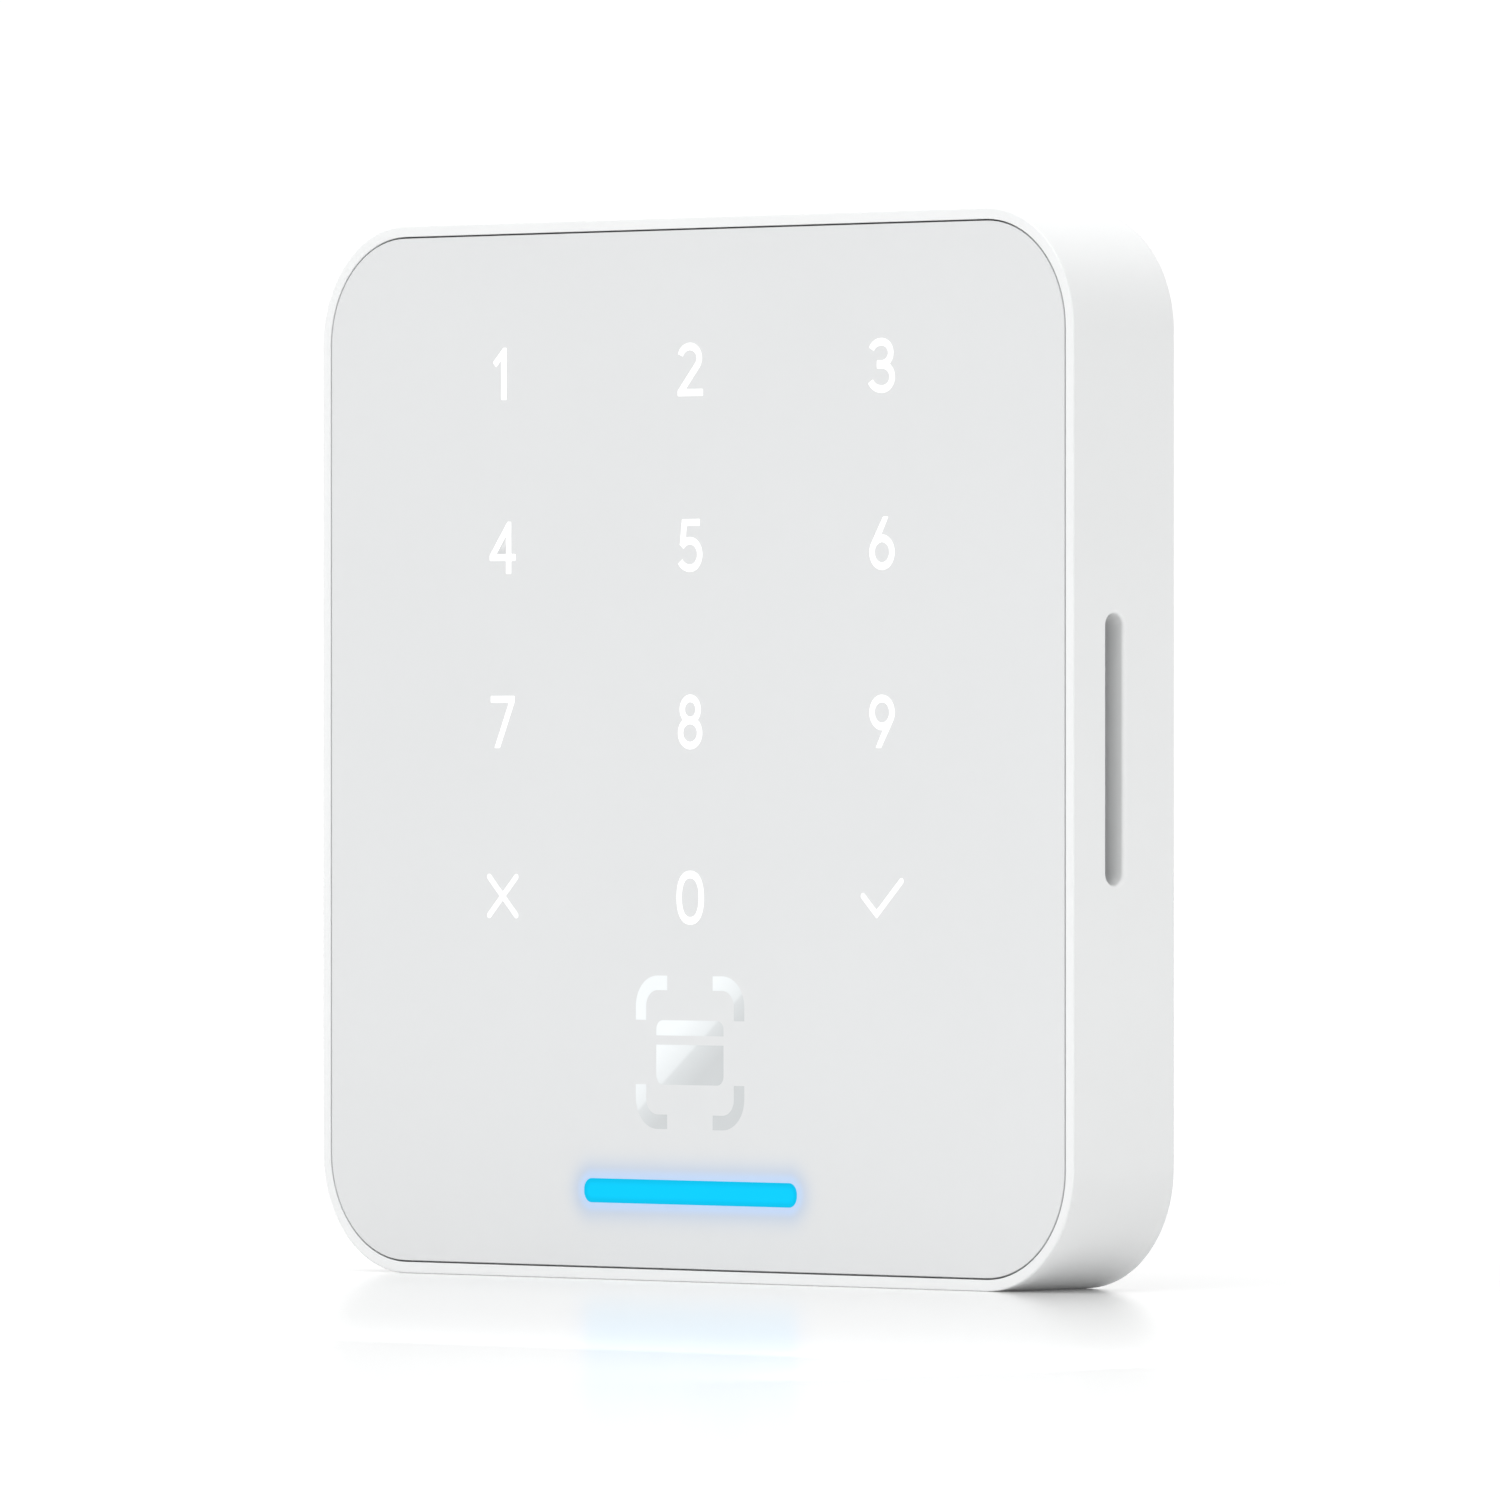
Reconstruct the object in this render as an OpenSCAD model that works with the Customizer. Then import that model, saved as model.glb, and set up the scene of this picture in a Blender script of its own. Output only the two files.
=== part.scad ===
// Wall-mounted card and keypad reader for a door: a flush touch panel in a thin rimmed housing,
// its boards, antenna and side-firing sounder, a rear cover with a wiring pocket, and the sheet
// aluminium plate that it hangs on. +Z is up, the face looks along -Y and the wall is on the +Y side.

/* [Housing] */
// Width and height of the square face
face_size = 115; // [114:1:120]
// Depth from the front face to the wall
body_depth = 15.5; // [15.5:0.5:18]
// Radius of the outer corners
corner_r = 13; // [12:0.5:14]
// Width of the thin rim around the touch panel
rim_w = 1.22; // [1:0.01:1.5]
// Thickness of the side walls
wall_t = 3; // [2.8:0.1:3.2]

/* [Touch panel] */
// Gap between the panel and the rim
panel_gap = 0.18; // [0.1:0.02:0.3]
// Thickness of the panel
panel_t = 1.9; // [1.8:0.1:2]
// Distance between key columns
key_pitch_x = 29; // [27:0.5:30]
// Distance between key rows
key_pitch_z = 19; // [18:0.5:19]
// Height of the top key row above the middle of the face
top_row_z = 41; // [40:0.5:42]
// Stroke width of the digits
digit_stroke = 0.82; // [0.7:0.02:0.9]
// Radius that the digits' corners are rounded to
digit_corner = 0.12; // [0.06:0.02:0.2]
// Stroke width of the cancel and enter marks
mark_stroke = 0.66; // [0.6:0.02:0.8]
// Length of the status bar
bar_len = 32.6; // [28:0.2:34]
// Height of the status bar
bar_h = 2.64; // [2.4:0.02:3]
// Side of the square that the card symbol fills
symbol_size = 16.6; // [14:0.2:18]

/* [Sound outlet] */
// Length of the slot in the side wall
slot_len = 28.8; // [26:0.1:32]
// Width of the slot
slot_w = 2.6; // [2.4:0.1:3.2]
// Depth of the slot's middle behind the front face
slot_depth = 6.35; // [6:0.05:6.6]

/* [Wall fixing] */
// Thickness of the wall plate
plate_t = 1.2; // [1:0.1:1.4]
// Distance between the upper and lower wall screws
screw_span_z = 83.3; // [82:0.1:84]
// Distance between the left and right wall screws
screw_span_x = 60.3; // [60:0.1:62]
// Radius of the holes for the wall screws
wall_hole_r = 2.1; // [1.9:0.1:2.3]
// How far the tamper plunger stands out towards the wall
plunger_out = 1; // [0.6:0.1:1]

/* [Hidden] */
$fn = 64;

// Where the front face and the middle of the face lie
front_y = -(body_depth + plunger_out) / 2;
mid_z = face_size / 2;
half = face_size / 2;

// Depths behind the front face, from the panel back to the wall
tape_t = 0.2;
inlay_t = 0.8;
foil_t = 0.3;
ledge_d = panel_t + tape_t;
ledge_t = 1.2;
light_box_t = 2.5;
key_board_d = ledge_d + light_box_t;
board_t = 1;
antenna_t = 0.1;
ferrite_t = 0.3;
board_gap = 1.6;
main_d = key_board_d + board_t + board_gap;
main_back = main_d + board_t;
plate_d = body_depth - plate_t;
cover_t = 1.8;
cover_back = body_depth - 1.4;
cover_d = cover_back - cover_t;
seal_t = 0.3;
led_h = 0.7;

// Outlines measured from the middle of the face
inner_half = half - wall_t;
ledge_half = half - 4.5;
rebate_half = half - 2;
board_x = 44;
board_z = 52;
light_x = 36;
key_xs = [-key_pitch_x, 0, key_pitch_x];
bar_z = -47.86;
symbol_z = -32.75;
antenna_z = -34;
film_low = -26;
film_high = 50;

// Wiring pocket in the rear cover
pocket_x = 23.5;
pocket_z = 13.5;
pocket_wall = 1.5;
pocket_seal_t = 0.6;
way_pitch = 3.5;
ways = 8;

// Sound outlet, from the slot inwards
gasket_t = 1;
mesh_t = 0.3;
speaker_t = 6.3;
speaker_len = 34;
speaker_h = 6;

// Fasteners and small moving parts
corner_block = 12.2;
cover_screw_at = half - 8.3;
board_screw_x = 40;
board_screw_z = 48;
cup_r = 6;
cup_depth = 2.9;
cup_floor = 1;
tab_t = 1.2;
tab_half = 4.8;
tab_z = half - 4.2;
top_tab_x = 25;
lock_front = key_board_d + board_t + antenna_t + ferrite_t + 0.3;
lock_back = cover_d - seal_t;
lock_d = (lock_front + lock_back) / 2;
tab_reach = plate_d - lock_d + 1.7;
notch_r = 1.8;
tamper_x = -36;
tamper_z = -22;
tamper_travel = 1.2;
reset_x = 36;
reset_z = -22;
reset_travel = 0.4;

// A flat shape drawn as seen from the front, made solid between two depths
module slab(d0, d1) {
    translate([0, front_y + d1, mid_z]) rotate([90, 0, 0]) linear_extrude(height = d1 - d0) children();
}

// A round post or hole along the depth
module post(x, z, d0, d1, r) {
    translate([x, front_y + d0, mid_z + z]) rotate([-90, 0, 0]) cylinder(h = d1 - d0, r = r);
}

module round_rect(w, h, r) {
    square([w - 2 * r, h], center = true);
    square([w, h - 2 * r], center = true);
    for (x = [-1, 1], z = [-1, 1]) translate([x * (w / 2 - r), z * (h / 2 - r)]) circle(r = r);
}

// The face outline drawn in by a distance all round
module face_outline(inset) {
    round_rect(face_size - 2 * inset, face_size - 2 * inset, corner_r - inset);
}

// A block between two depths, given by its middle and size as seen from the front
module block(x, z, w, h, d0, d1) {
    slab(d0, d1) translate([x, z]) square([w, h], center = true);
}

module four_corners(x, z) {
    for (i = [-1, 1], j = [-1, 1]) translate([i * x, 0, j * z]) children();
}

// ---- Legends ----

function arc(c, r, from, to, steps = 20) =
    [for (i = [0 : steps]) let (a = from + (to - from) * i / steps)
        [c[0] + r[0] * cos(a), c[1] + r[1] * sin(a)]];
function reversed(list) = [for (i = [len(list) - 1 : -1 : 0]) list[i]];
function unit(v) = v / norm(v);
// The path moved sideways, with its corners mitred
function beside(path, off) =
    [for (i = [0 : len(path) - 1])
        let (last = len(path) - 1,
             before = i > 0 ? unit(path[i] - path[i - 1]) : unit(path[1] - path[0]),
             after = i < last ? unit(path[i + 1] - path[i]) : before,
             t = unit(before + after))
        path[i] + off / (t * after) * [-t[1], t[0]]];
// An outline with each real corner replaced by a short curve
function soften(outline) =
    [for (i = [0 : len(outline) - 1])
        let (n = len(outline), q = outline[i], p = outline[(i + n - 1) % n], s = outline[(i + 1) % n],
             u = unit(p - q), v = unit(s - q), d = min(digit_corner, norm(p - q) / 2, norm(s - q) / 2))
        each (u * v < -0.93 ? [q] : [for (t = [0 : 0.25 : 1]) q + d * (u * (1 - t) * (1 - t) + v * t * t)])];
// Half a circle round the end of a path that comes from another point
function end_cap(from, end, r) =
    let (a = atan2(end[1] - from[1], end[0] - from[0])) arc(end, [r, r], a + 80, a - 80, 8);
function oval(c, r, fullness) =
    [for (a = [0 : 4 : 356]) let (u = cos(a), v = sin(a))
        [c[0] + r[0] * sign(u) * pow(abs(u), 2 / fullness),
         c[1] + r[1] * sign(v) * pow(abs(v), 2 / fullness)]];

// A pen stroke with square ends along a path
module stroke(path, w = digit_stroke) {
    polygon(soften(concat(beside(path, w / 2), reversed(beside(path, -w / 2)))));
}

module ring(c, r, fullness = 2) {
    half_w = digit_stroke / 2;
    difference() {
        polygon(oval(c, [r[0] + half_w, r[1] + half_w], fullness));
        polygon(oval(c, [r[0] - half_w, r[1] - half_w], fullness));
    }
}

// A thinner stroke with round ends
module round_stroke(path) {
    r = mark_stroke / 2;
    last = len(path) - 1;
    polygon(concat(beside(path, r), end_cap(path[last - 1], path[last], r),
                   reversed(beside(path, -r)), end_cap(path[1], path[0], r)));
}

// A straight stem that runs into a round bowl along its outer edge
module digit_six() {
    bowl = [0.1, -0.95];
    difference() {
        polygon(soften(concat([[0.25, 2.85]], arc(bowl, [1.9, 1.9], 149.5, 453, 70), [[1.05, 2.85]])));
        translate(bowl) circle(r = 1.9 - digit_stroke);
    }
}

module glyph(name) {
    if (name == "1")
        polygon(soften([[-0.25, -2.85], [0.6, -2.85], [0.6, 2.85], [0.08, 2.85],
                        [-1.55, 1.26], [-1.02, 0.72], [-0.25, 1.47]]));
    if (name == "2") {
        bend = concat(arc([0, 1.24], [1.5, 1.27], 165, 90), arc([0, 1.24], [1.44, 1.27], 85, -40),
                      [[-0.91, -1.8]]);
        polygon(soften(concat(beside(bend, digit_stroke / 2),
                              [[2, -2.09], [2, -2.85], [-1.87, -2.85], [-1.87, -2.26]],
                              reversed(beside(bend, -digit_stroke / 2)))));
    }
    if (name == "3") {
        stroke(concat(arc([0.02, 1.33], [1.6, 1.19], 160, 90), arc([0.02, 1.33], [1.39, 1.19], 85, -90),
                      [[-0.67, 0.14]]));
        stroke(concat([[-0.67, 0.06]], arc([0.08, -1.24], [1.55, 1.3], 90, -90),
                      arc([0.08, -1.24], [1.8, 1.3], -95, -160)));
    }
    if (name == "4")
        difference() {
            polygon(soften([[0.5, -2.85], [1.33, -2.85], [1.33, -1.42], [2.02, -1.42], [2.02, -0.66],
                            [1.33, -0.66], [1.33, 2.85], [0.75, 2.85], [-2.05, -0.8], [-2.05, -1.42],
                            [0.5, -1.42]]));
            polygon([[-0.97, -0.66], [0.5, -0.66], [0.5, 1.28]]);
        }
    if (name == "5") {
        polygon(soften([[-1.22, 2.88], [1.53, 2.88], [1.53, 2.13], [-0.48, 2.13], [-0.66, 0.6],
                        [-1.1, -0.24], [-1.53, 0.17]]));
        stroke(concat(arc([0.03, -0.95], [1.6, 1.48], 145, 90), arc([0.03, -0.95], [1.48, 1.48], 85, -90),
                      arc([0.03, -0.95], [1.75, 1.48], -95, -150)));
    }
    if (name == "6") digit_six();
    if (name == "7")
        polygon(soften([[-1.88, 2.85], [1.85, 2.85], [1.85, 2.15], [-0.45, -2.85], [-1.3, -2.85],
                        [0.95, 2.09], [-1.88, 2.09]]));
    if (name == "8") {
        ring([0.05, 1.32], [1.21, 1.2]);
        ring([0.03, -1.22], [1.46, 1.36]);
    }
    if (name == "9") translate([0.2, 0]) rotate(180) digit_six();
    if (name == "0") ring([0.05, 0], [1.69, 2.5], 2.3);
    if (name == "cancel")
        for (s = [-1, 1]) round_stroke([[-2.11, 2.09 * s], [2.11, -2.09 * s]]);
    if (name == "enter") round_stroke([[-2.75, 0.33], [-0.7, -1.6], [3, 1.95]]);
}

key_names = ["1", "2", "3", "4", "5", "6", "7", "8", "9", "cancel", "0", "enter"];

module at_key(i) {
    translate([key_xs[i % 3], top_row_z - key_pitch_z * floor(i / 3)]) children();
}

module legend(i) {
    color("white") slab(0, inlay_t) at_key(i) glyph(key_names[i]);
}

// ---- Front ----

module bar_outline() {
    translate([0, bar_z]) round_rect(bar_len, bar_h, bar_h * 0.45);
}

// Four corner brackets around a plain card with a stripe: where to hold the card
module symbol_outline() {
    line = symbol_size * 0.095;
    translate([0, symbol_z]) {
        difference() {
            round_rect(symbol_size, symbol_size, symbol_size * 0.2);
            round_rect(symbol_size - 2 * line, symbol_size - 2 * line, symbol_size * 0.2 - line);
            square([symbol_size * 0.42, symbol_size + 1], center = true);
            square([symbol_size + 1, symbol_size * 0.42], center = true);
        }
        difference() {
            round_rect(symbol_size * 0.62, symbol_size * 0.42, symbol_size * 0.06);
            translate([0, symbol_size * 0.08]) square([symbol_size, symbol_size * 0.06], center = true);
        }
    }
}

module slot_outline() {
    translate([front_y + slot_depth, mid_z]) {
        square([slot_w, slot_len - slot_w], center = true);
        for (s = [-1, 1]) translate([0, s * (slot_len - slot_w) / 2]) circle(d = slot_w);
    }
}

// A shape drawn across the depth and height, made solid between two places along X
module side_slab(x0, x1) {
    translate([x0, 0, 0]) rotate([90, 0, 90]) linear_extrude(height = x1 - x0) children();
}

module lock_boss() {
    slab(lock_front, lock_back) translate([-7, -inner_half - 0.1]) square([14, 6.6]);
}

module housing_shell() {
    color("whitesmoke") difference() {
        union() {
            difference() {
                slab(0, body_depth) face_outline(0);
                slab(-1, ledge_d) face_outline(rim_w);
                slab(ledge_d - 0.1, body_depth) face_outline(half - ledge_half);
                slab(ledge_d + ledge_t, body_depth) face_outline(wall_t);
                slab(cover_d - seal_t, body_depth + 1) face_outline(half - rebate_half);
            }
            // Corner blocks that take the rear cover's screws
            slab(ledge_d + ledge_t, cover_d - seal_t) intersection() {
                face_outline(wall_t - 0.1);
                for (x = [-1, 1], z = [-1, 1])
                    translate([x * half, z * half]) square(2 * corner_block, center = true);
            }
            lock_boss();
        }
        four_corners(cover_screw_at, cover_screw_at) post(0, 0, cover_d - 5.8, cover_d + 1, 1.25);
        side_slab(half - wall_t - 1, half + 1) slot_outline();
        // Slot for the wall plate's lower tab, open to the rear
        slab(lock_d - 2, cover_d) translate([-tab_half - 0.4, -inner_half]) square([2 * tab_half + 0.8, 2.2]);
        // Way in for the security screw, its head and its insert
        translate([0, front_y + lock_d, 0]) {
            translate([0, 0, -1]) cylinder(h = wall_t + 3.5, r = 1.6);
            translate([0, 0, -1]) cylinder(h = 2.5, r = 2.9);
            translate([0, 0, wall_t + 2]) cylinder(h = 4, r = 2.1);
        }
    }
}

module keypad_panel() {
    color("gainsboro") difference() {
        slab(0, panel_t) face_outline(rim_w + panel_gap);
        for (i = [0 : 11]) slab(-1, inlay_t) at_key(i) glyph(key_names[i]);
        slab(-1, inlay_t) bar_outline();
        slab(-1, foil_t) symbol_outline();
    }
}

module status_bar_lens() {
    color("deepskyblue") slab(0, inlay_t) bar_outline();
}

module tap_symbol() {
    color("silver") slab(0, foil_t) symbol_outline();
}

module panel_adhesive() {
    color("dimgray") slab(panel_t, ledge_d) difference() {
        face_outline(rim_w + panel_gap + 0.2);
        face_outline(half - ledge_half - 0.2);
    }
}

module touch_film() {
    color("lightyellow") slab(panel_t, ledge_d)
        translate([-light_x, film_low]) square([2 * light_x, film_high - film_low]);
}

module light_box() {
    color("white") slab(ledge_d, key_board_d) difference() {
        translate([-light_x, -board_z + 1]) square([2 * light_x, film_high + board_z - 1]);
        for (i = [0 : 11]) at_key(i) square([11, 9], center = true);
        translate([0, bar_z]) square([34, 4], center = true);
    }
}

// ---- Boards ----

module board_outline() {
    round_rect(2 * board_x, 2 * board_z, 2);
}

module key_board() {
    color("darkgreen") difference() {
        slab(key_board_d, key_board_d + board_t) board_outline();
        four_corners(board_screw_x, board_screw_z) post(0, 0, key_board_d - 1, key_board_d + board_t + 1, 1.35);
    }
}

module key_leds() {
    color("ivory") for (i = [0 : 11])
        slab(key_board_d - led_h, key_board_d) at_key(i) square([2, 1.25], center = true);
}

module status_leds() {
    color("aliceblue") for (x = [-13 : 6.5 : 13])
        block(x, bar_z, 2.2, 1.4, key_board_d - led_h, key_board_d);
}

module antenna_coil() {
    turns = 4;
    pitch = 1.5;
    track = 0.8;
    d0 = key_board_d + board_t;
    color("darkorange") slab(d0, d0 + antenna_t) translate([0, antenna_z]) {
        for (i = [0 : turns - 1]) difference() {
            round_rect(70 - 2 * i * pitch, 34 - 2 * i * pitch, 6 - i);
            round_rect(70 - 2 * i * pitch - 2 * track, 34 - 2 * i * pitch - 2 * track, 5.4 - i);
        }
        translate([8, 17 - turns * pitch]) square([track, turns * pitch]);
    }
}

module ferrite_sheet() {
    d0 = key_board_d + board_t + antenna_t;
    color("darkslategray") block(0, antenna_z, 2 * light_x, 36, d0, d0 + ferrite_t);
}

module board_connector() {
    color("black") block(0, 36, 22, 4, key_board_d + board_t, main_d);
}

module board_spacers() {
    color("ivory") difference() {
        four_corners(board_screw_x, board_screw_z) post(0, 0, key_board_d + board_t, main_d, 2.8);
        four_corners(board_screw_x, board_screw_z) post(0, 0, key_board_d, main_d + 1, 1.35);
    }
}

module main_board() {
    color("seagreen") difference() {
        slab(main_d, main_back) difference() {
            board_outline();
            // Notch round the boss that takes the security screw
            translate([-8, -board_z - 1]) square([16, 5.5]);
        }
        four_corners(board_screw_x, board_screw_z) post(0, 0, main_d - 1, main_back + 1, 1.35);
    }
}

module board_screws() {
    color("silver") four_corners(board_screw_x, board_screw_z) difference() {
        union() {
            post(0, 0, key_board_d - 1, key_board_d, 2.2);
            post(0, 0, key_board_d - 0.1, cover_d - 1.2, 1.2);
        }
        for (a = [0, 90]) translate([0, front_y, mid_z]) rotate([0, a, 0])
            translate([-1.3, key_board_d - 1.1, -0.25]) cube([2.6, 0.6, 0.5]);
    }
}

module shield_can() {
    color("lightsteelblue") difference() {
        slab(main_back, main_back + 1.8) translate([-26, 30]) round_rect(26, 20, 1);
        slab(main_back - 1, main_back + 1.5) translate([-26, 30]) square([25, 19], center = true);
    }
}

module board_chips() {
    color("black") {
        block(8, 28, 8, 8, main_back, main_back + 1.2);
        block(21, 28, 6, 5, main_back, main_back + 1);
        block(21, 20, 5, 4, main_back, main_back + 1);
        block(16, -27, 6, 6, main_back, main_back + 1);
        block(-26, 33, 7, 7, main_back, main_back + 1);
        block(-24, 25, 4, 3, main_back, main_back + 0.8);
    }
}

module power_inductor() {
    color("slategray") slab(main_back, main_back + 2.8) translate([-10, -28]) round_rect(6, 6, 1);
}

module capacitors() {
    color("lightsteelblue") for (z = [-25, -32]) post(-21, z, main_back, main_back + 3.2, 2.5);
}

// ---- Wiring ----

module terminal_ways() {
    for (i = [0 : ways - 1]) translate([(i - (ways - 1) / 2) * way_pitch, 0, 0]) children();
}

module terminal_block() {
    color("darkgreen") difference() {
        block(0, -8.5, ways * way_pitch + 1, 8, main_back, cover_back - 0.4);
        terminal_ways() post(0, -9, cover_back - 1.6, cover_back, 1.4);
        terminal_ways() translate([-1.1, front_y + main_back + 0.9, mid_z - 6.5]) cube([2.2, 2.6, 3]);
    }
}

module terminal_screws() {
    color("silver") terminal_ways() difference() {
        post(0, -9, cover_back - 1.6, cover_back - 0.7, 1.3);
        translate([-1, front_y + cover_back - 1.1, mid_z - 9.2]) cube([2, 1, 0.4]);
    }
}

module pocket_outline(extra = 0) {
    round_rect(2 * (pocket_x + extra), 2 * (pocket_z + extra), 1 + extra);
}

module terminal_seal() {
    color("dimgray") slab(main_back, main_back + pocket_seal_t) difference() {
        pocket_outline(pocket_wall);
        pocket_outline(0);
    }
}

// ---- Sound ----

module speaker() {
    x1 = inner_half - gasket_t - mesh_t;
    color("dimgray") difference() {
        side_slab(x1 - speaker_t, x1) translate([front_y + slot_depth, mid_z])
            round_rect(speaker_h, speaker_len, 1);
        side_slab(x1 - 0.8, x1 + 1) slot_outline();
    }
}

module acoustic_mesh() {
    x1 = inner_half - gasket_t;
    color("dimgray") side_slab(x1 - mesh_t, x1) translate([front_y + slot_depth, mid_z])
        round_rect(speaker_h - 0.4, speaker_len - 0.4, 1);
}

module speaker_gasket() {
    color("black") side_slab(inner_half - gasket_t, inner_half) difference() {
        translate([front_y + slot_depth, mid_z]) round_rect(speaker_h, speaker_len, 1);
        slot_outline();
    }
}

module speaker_contacts() {
    x1 = inner_half - gasket_t - mesh_t - speaker_t;
    color("gold") for (z = [-4, 4]) {
        translate([x1 - 4.4, front_y + main_back, mid_z + z - 0.6]) cube([4.4, 0.3, 1.2]);
        translate([x1 - 0.3, front_y + main_back - 2.2, mid_z + z - 0.6]) cube([0.3, 2.4, 1.2]);
    }
}

// ---- Rear ----

module wall_screw_places() {
    for (s = [-1, 1]) {
        translate([0, 0, s * screw_span_z / 2]) children();
        translate([s * screw_span_x / 2, 0, 0]) children();
    }
}

module tab_places() {
    for (x = [-top_tab_x, top_tab_x]) translate([x, tab_z]) children();
    translate([0, -tab_z]) children();
}

module rear_cover() {
    color("lightgray") difference() {
        union() {
            slab(cover_d, cover_back) face_outline(half - rebate_half + 0.2);
            slab(main_back + pocket_seal_t, cover_back) pocket_outline(pocket_wall);
            four_corners(board_screw_x, board_screw_z) post(0, 0, main_back, cover_back, 3);
            wall_screw_places() post(0, 0, cover_back - cup_depth - cup_floor, cover_back, cup_r);
            post(reset_x, reset_z, main_back + 2.8, cover_back, 3.6);
        }
        slab(main_back, cover_back + 1) pocket_outline(0);
        four_corners(board_screw_x, board_screw_z) post(0, 0, main_back - 1, cover_d - 0.6, 1.25);
        wall_screw_places() post(0, 0, cover_back - cup_depth, cover_back + 1, cup_r - 1.2);
        four_corners(cover_screw_at, cover_screw_at) {
            post(0, 0, cover_d - 1, cover_back + 1, 1.4);
            post(0, 0, cover_back - 1.1, cover_back + 1, 2.5);
        }
        slab(cover_d - 1, cover_back + 1) tab_places() square([2 * tab_half + 0.6, tab_t + 0.6], center = true);
        post(tamper_x, tamper_z, cover_d - 1, cover_back + 1, 2.6);
        post(reset_x, reset_z, main_back, cover_back + 1, 1.8);
    }
}

module cover_seal() {
    color("dimgray") slab(cover_d - seal_t, cover_d) difference() {
        face_outline(half - rebate_half + 0.1);
        face_outline(wall_t);
    }
}

module cover_screws() {
    color("silver") four_corners(cover_screw_at, cover_screw_at) difference() {
        union() {
            post(0, 0, cover_d - 5, cover_back - 1, 1.2);
            post(0, 0, cover_back - 1.1, cover_back - 0.1, 2.2);
        }
        for (a = [0, 90]) translate([0, front_y, mid_z]) rotate([0, a, 0])
            translate([-1.3, cover_back - 0.7, -0.25]) cube([2.6, 1, 0.5]);
    }
}

module threaded_insert() {
    color("goldenrod") translate([0, front_y + lock_d, wall_t + 2.2]) difference() {
        cylinder(h = 3.8, r = 2.1);
        translate([0, 0, -1]) cylinder(h = 6, r = 1.5);
    }
}

module security_screw() {
    color("silver") translate([0, front_y + lock_d, 0]) difference() {
        union() {
            translate([0, 0, 0.2]) cylinder(h = 1.3, r = 2.75);
            translate([0, 0, 1.4]) cylinder(h = wall_t + 4, r = 1.45);
        }
        difference() {
            translate([0, 0, -1]) cylinder(h = 2.1, r = 1.25, $fn = 6);
            translate([0, 0, -1]) cylinder(h = 3, r = 0.4);
        }
    }
}

module data_label() {
    color("white") slab(cover_back, cover_back + 0.1) translate([0, 26]) round_rect(40, 13, 1);
}

module wall_plate() {
    color("silver") difference() {
        union() {
            slab(plate_d, body_depth) face_outline(2.5);
            slab(plate_d - tab_reach, plate_d + 0.1) tab_places()
                square([2 * tab_half, tab_t], center = true);
        }
        slab(plate_d - 1, body_depth + 1) pocket_outline(0.5);
        wall_screw_places() post(0, 0, plate_d - 1, body_depth + 1, wall_hole_r);
        post(tamper_x, tamper_z, plate_d - 1, body_depth + 1, 3.6);
        post(reset_x, reset_z, plate_d - 1, body_depth + 1, 3);
        // Notch that lets the plate pull straight off past the security screw
        translate([0, front_y + lock_d, mid_z - tab_z - 2]) {
            cylinder(h = 4, r = notch_r);
            translate([-notch_r, -lock_d, 0]) cube([2 * notch_r, lock_d, 4]);
        }
    }
}

// ---- Tamper switch and reset button ----

module tamper_switch() {
    color("black") {
        block(tamper_x, tamper_z, 3.6, 3, main_back, main_back + 1.1);
        post(tamper_x, tamper_z, main_back + 1, main_back + 1.4, 0.9);
    }
}

module tamper_plunger() {
    flange_d = cover_d - 0.65;
    color("white") {
        post(tamper_x, tamper_z, main_back + 1.4 + tamper_travel + 0.1, flange_d + 0.1, 1);
        post(tamper_x, tamper_z, flange_d, flange_d + 0.6, 3.7);
        post(tamper_x, tamper_z, flange_d + 0.5, body_depth + plunger_out, 2.5);
    }
}

// Points on a coil's wire, ring by ring along its axis
function coil_points(turns, coil_r, wire_r, length, per_turn, sides) =
    [for (i = [0 : turns * per_turn], k = [0 : sides - 1])
        let (a = 360 * i / per_turn, b = 360 * k / sides, r = coil_r + wire_r * cos(b))
        [r * cos(a), r * sin(a), wire_r * (1 + sin(b)) + (length - 2 * wire_r) * i / (turns * per_turn)]];

module coil_spring(turns, coil_r, wire_r, length, per_turn = 16, sides = 8) {
    last = turns * per_turn;
    walls = [for (i = [0 : last - 1], k = [0 : sides - 1])
        let (a = i * sides, b = a + sides, n = (k + 1) % sides) [a + k, a + n, b + n, b + k]];
    caps = [[for (k = [sides - 1 : -1 : 0]) k], [for (k = [0 : sides - 1]) last * sides + k]];
    polyhedron(points = coil_points(turns, coil_r, wire_r, length, per_turn, sides),
               faces = concat(walls, caps));
}

module tamper_spring() {
    color("silver") translate([tamper_x, front_y + main_back, mid_z + tamper_z]) rotate([-90, 0, 0])
        coil_spring(4, 3.1, 0.22, cover_d - 0.65 - main_back);
}

module reset_switch() {
    color("black") block(reset_x, reset_z, 4.4, 4.4, main_back, main_back + 1.2);
}

module reset_button() {
    color("orange") {
        post(reset_x, reset_z, main_back + 1.25 + reset_travel, main_back + 2.7, 2.6);
        post(reset_x, reset_z, main_back + 2.6, cover_back - 0.3, 1.7);
    }
}

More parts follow.
